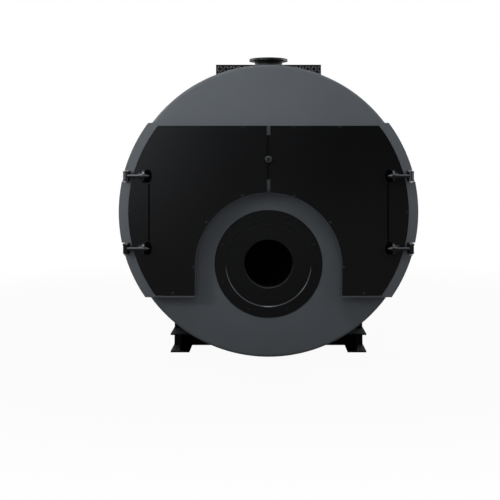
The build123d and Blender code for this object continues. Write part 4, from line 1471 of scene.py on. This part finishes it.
def handle(width, rise, place):
    """A handle of round bar: two legs and a grip, with bent corners."""
    half = width / 2
    points = [(-half, 0, 0)]
    for centre_x, first in ((-half + bend_radius, 180), (half - bend_radius, 90)):
        for step in range(bend_steps + 1):
            angle = math.radians(first - 90 * step / bend_steps)
            x = centre_x + bend_radius * math.cos(angle)
            points.append((x, 0, rise - bend_radius + bend_radius * math.sin(angle)))
    points.append((half, 0, 0))
    return round_bar("hinge_black", points, bar_radius, bar_pitch, place)


print("a handle's bar is", 2 * bar_radius, "m thick")

# %% [markdown]
# Twenty bolts hold the manhole's cover, with nuts under its flange, and two handles lift it.
# Bolts and nuts could be one longer shape, but the flange lies between them. So the circle of
# bolts runs twice, and the second time its matrix points downwards.

# %% Manhole cover
quarter = Matrix.Rotation(math.radians(90), 4, "Z")
manhole_low, manhole_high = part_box("manhole_cover")
manhole_y = (manhole_low.y + manhole_high.y) / 2
manhole_flange = 0.024
grip_x = 0.14
manhole_circle = {"Count": 20, "Circle Radius": 0.268}
on_manhole = Matrix.Translation((0, manhole_y, manhole_high.z))
under_flange = facing((0, manhole_y, manhole_low.z - manhole_flange), downward)
above = {**manhole_circle, "Head Height": 0.012, "Seed": 5}
below = {**manhole_circle, "Washer Radius": 0.0175, "Head Height": 0.014, "Seed": 6}
manhole_bolts = [
    grow(bolt_circle, "pin_steel", above, place=on_manhole),
    grow(bolt_circle, "pin_steel", below, place=under_flange),
]
settle("manhole_bolts", manhole_bolts, "root", "pin_steel")
manhole_grips = [
    handle(width=0.14, rise=0.048, place=on_manhole @ Matrix.Translation((x, 0, 0)) @ quarter)
    for x in (-grip_x, grip_x)
]
settle("manhole_handles", manhole_grips, "root", "hinge_black")

# %% [markdown]
# The furnace's rear end has a round cover for the inspector, held like the manhole's. It could
# be worked out anew, but the same calls do, with a matrix that stands everything upright.

# %% Furnace end cover
end_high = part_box("furnace_end_cover")[1]
end_grip_x = 0.17
end_circle = {"Count": 16, "Circle Radius": 0.355, "Start Angle": math.radians(11.25), "Seed": 8}
on_end = facing((0, end_high.y, furnace_z), backward)
end_bolts = grow(bolt_circle, "pin_steel", end_circle, place=on_end)
settle("end_cover_bolts", [end_bolts], "root", "pin_steel")
end_grips = [
    handle(width=0.16, rise=0.06, place=on_end @ Matrix.Translation((x, 0, 0)) @ quarter)
    for x in (end_grip_x, -end_grip_x)
]
settle("end_cover_handles", end_grips, "root", "hinge_black")

# %% [markdown]
# The flue collector has two upright covers, through which the tubes are brushed. Their bolts
# follow the rectangle's four sides, which is a rule of its own, so plain points carry them.

# %% Collector covers
covers_low, covers_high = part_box("collector_covers")
cover_z = (covers_low.z + covers_high.z) / 2
cover_half = (0.215, 0.310)
cover_x = covers_high.x - cover_half[0]
edge_room = 0.028
bolts_across, bolts_up = 4, 6
cover_grip_z = 0.14
cover_bolt_sizes = {"Washer Radius": 0.016, "Head Radius": 0.0125, "Head Height": 0.009, "Seed": 9}


def bolt_frame(half_x, half_z, count_x, count_z):
    """Places along a rectangle's four sides, corners once."""
    places = []
    for step in range(count_x):
        x = -half_x + 2 * half_x * step / (count_x - 1)
        places += [(x, -half_z, 0), (x, half_z, 0)]
    for step in range(1, count_z - 1):
        z = -half_z + 2 * half_z * step / (count_z - 1)
        places += [(-half_x, z, 0), (half_x, z, 0)]
    return places


cover_bolts, cover_grips = [], []
for sign in (-1, 1):
    on_cover = facing((sign * cover_x, covers_high.y, cover_z), backward)
    places = bolt_frame(cover_half[0] - edge_room, cover_half[1] - edge_room, bolts_across, bolts_up)
    cover_bolts.append(grow(bolt_places, "pin_steel", cover_bolt_sizes, only_points(places), on_cover))
    for z in (-cover_grip_z, cover_grip_z):
        on_grip = on_cover @ Matrix.Translation((0, z, 0))
        cover_grips.append(handle(width=0.15, rise=0.055, place=on_grip))
settle("collector_cover_bolts", cover_bolts, "root", "pin_steel")
settle("collector_cover_handles", cover_grips, "root", "hinge_black")

# %% [markdown]
# Three round pieces are welded on at the rear: the flue outlet to its collector, and the drain
# and the furnace's end to the rear head. Each joint is a plain circle, so a ring of points is
# line enough for the bead tree.

# %% Welds at the rear
drain_low, drain_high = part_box("drain_nozzle")
drain_z = (drain_low.z + drain_high.z) / 2
flue_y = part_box("flue_collector")[1].y
flue_weld_radius = 0.306
drain_weld_radius = 0.0305
end_weld_radius = 0.330
rear_lines = [
    ring(flue_weld_radius, (0, flue_y, cover_z), backward),
    ring(drain_weld_radius, (0, rear_y, drain_z), backward, steps=32),
    ring(end_weld_radius, (0, rear_y, furnace_z), backward),
]
settle("rear_welds", [weld("pipe_black", points) for points in rear_lines], "root", "pipe_black")

# %% [markdown]
# Last, the triangles of all the added pieces are counted, in all and on the largest one.

# %% Count the added triangles and finish
print("triangles added in all:", sum(made_triangles.values()))
print("most on one piece:", max(made_triangles.values()))
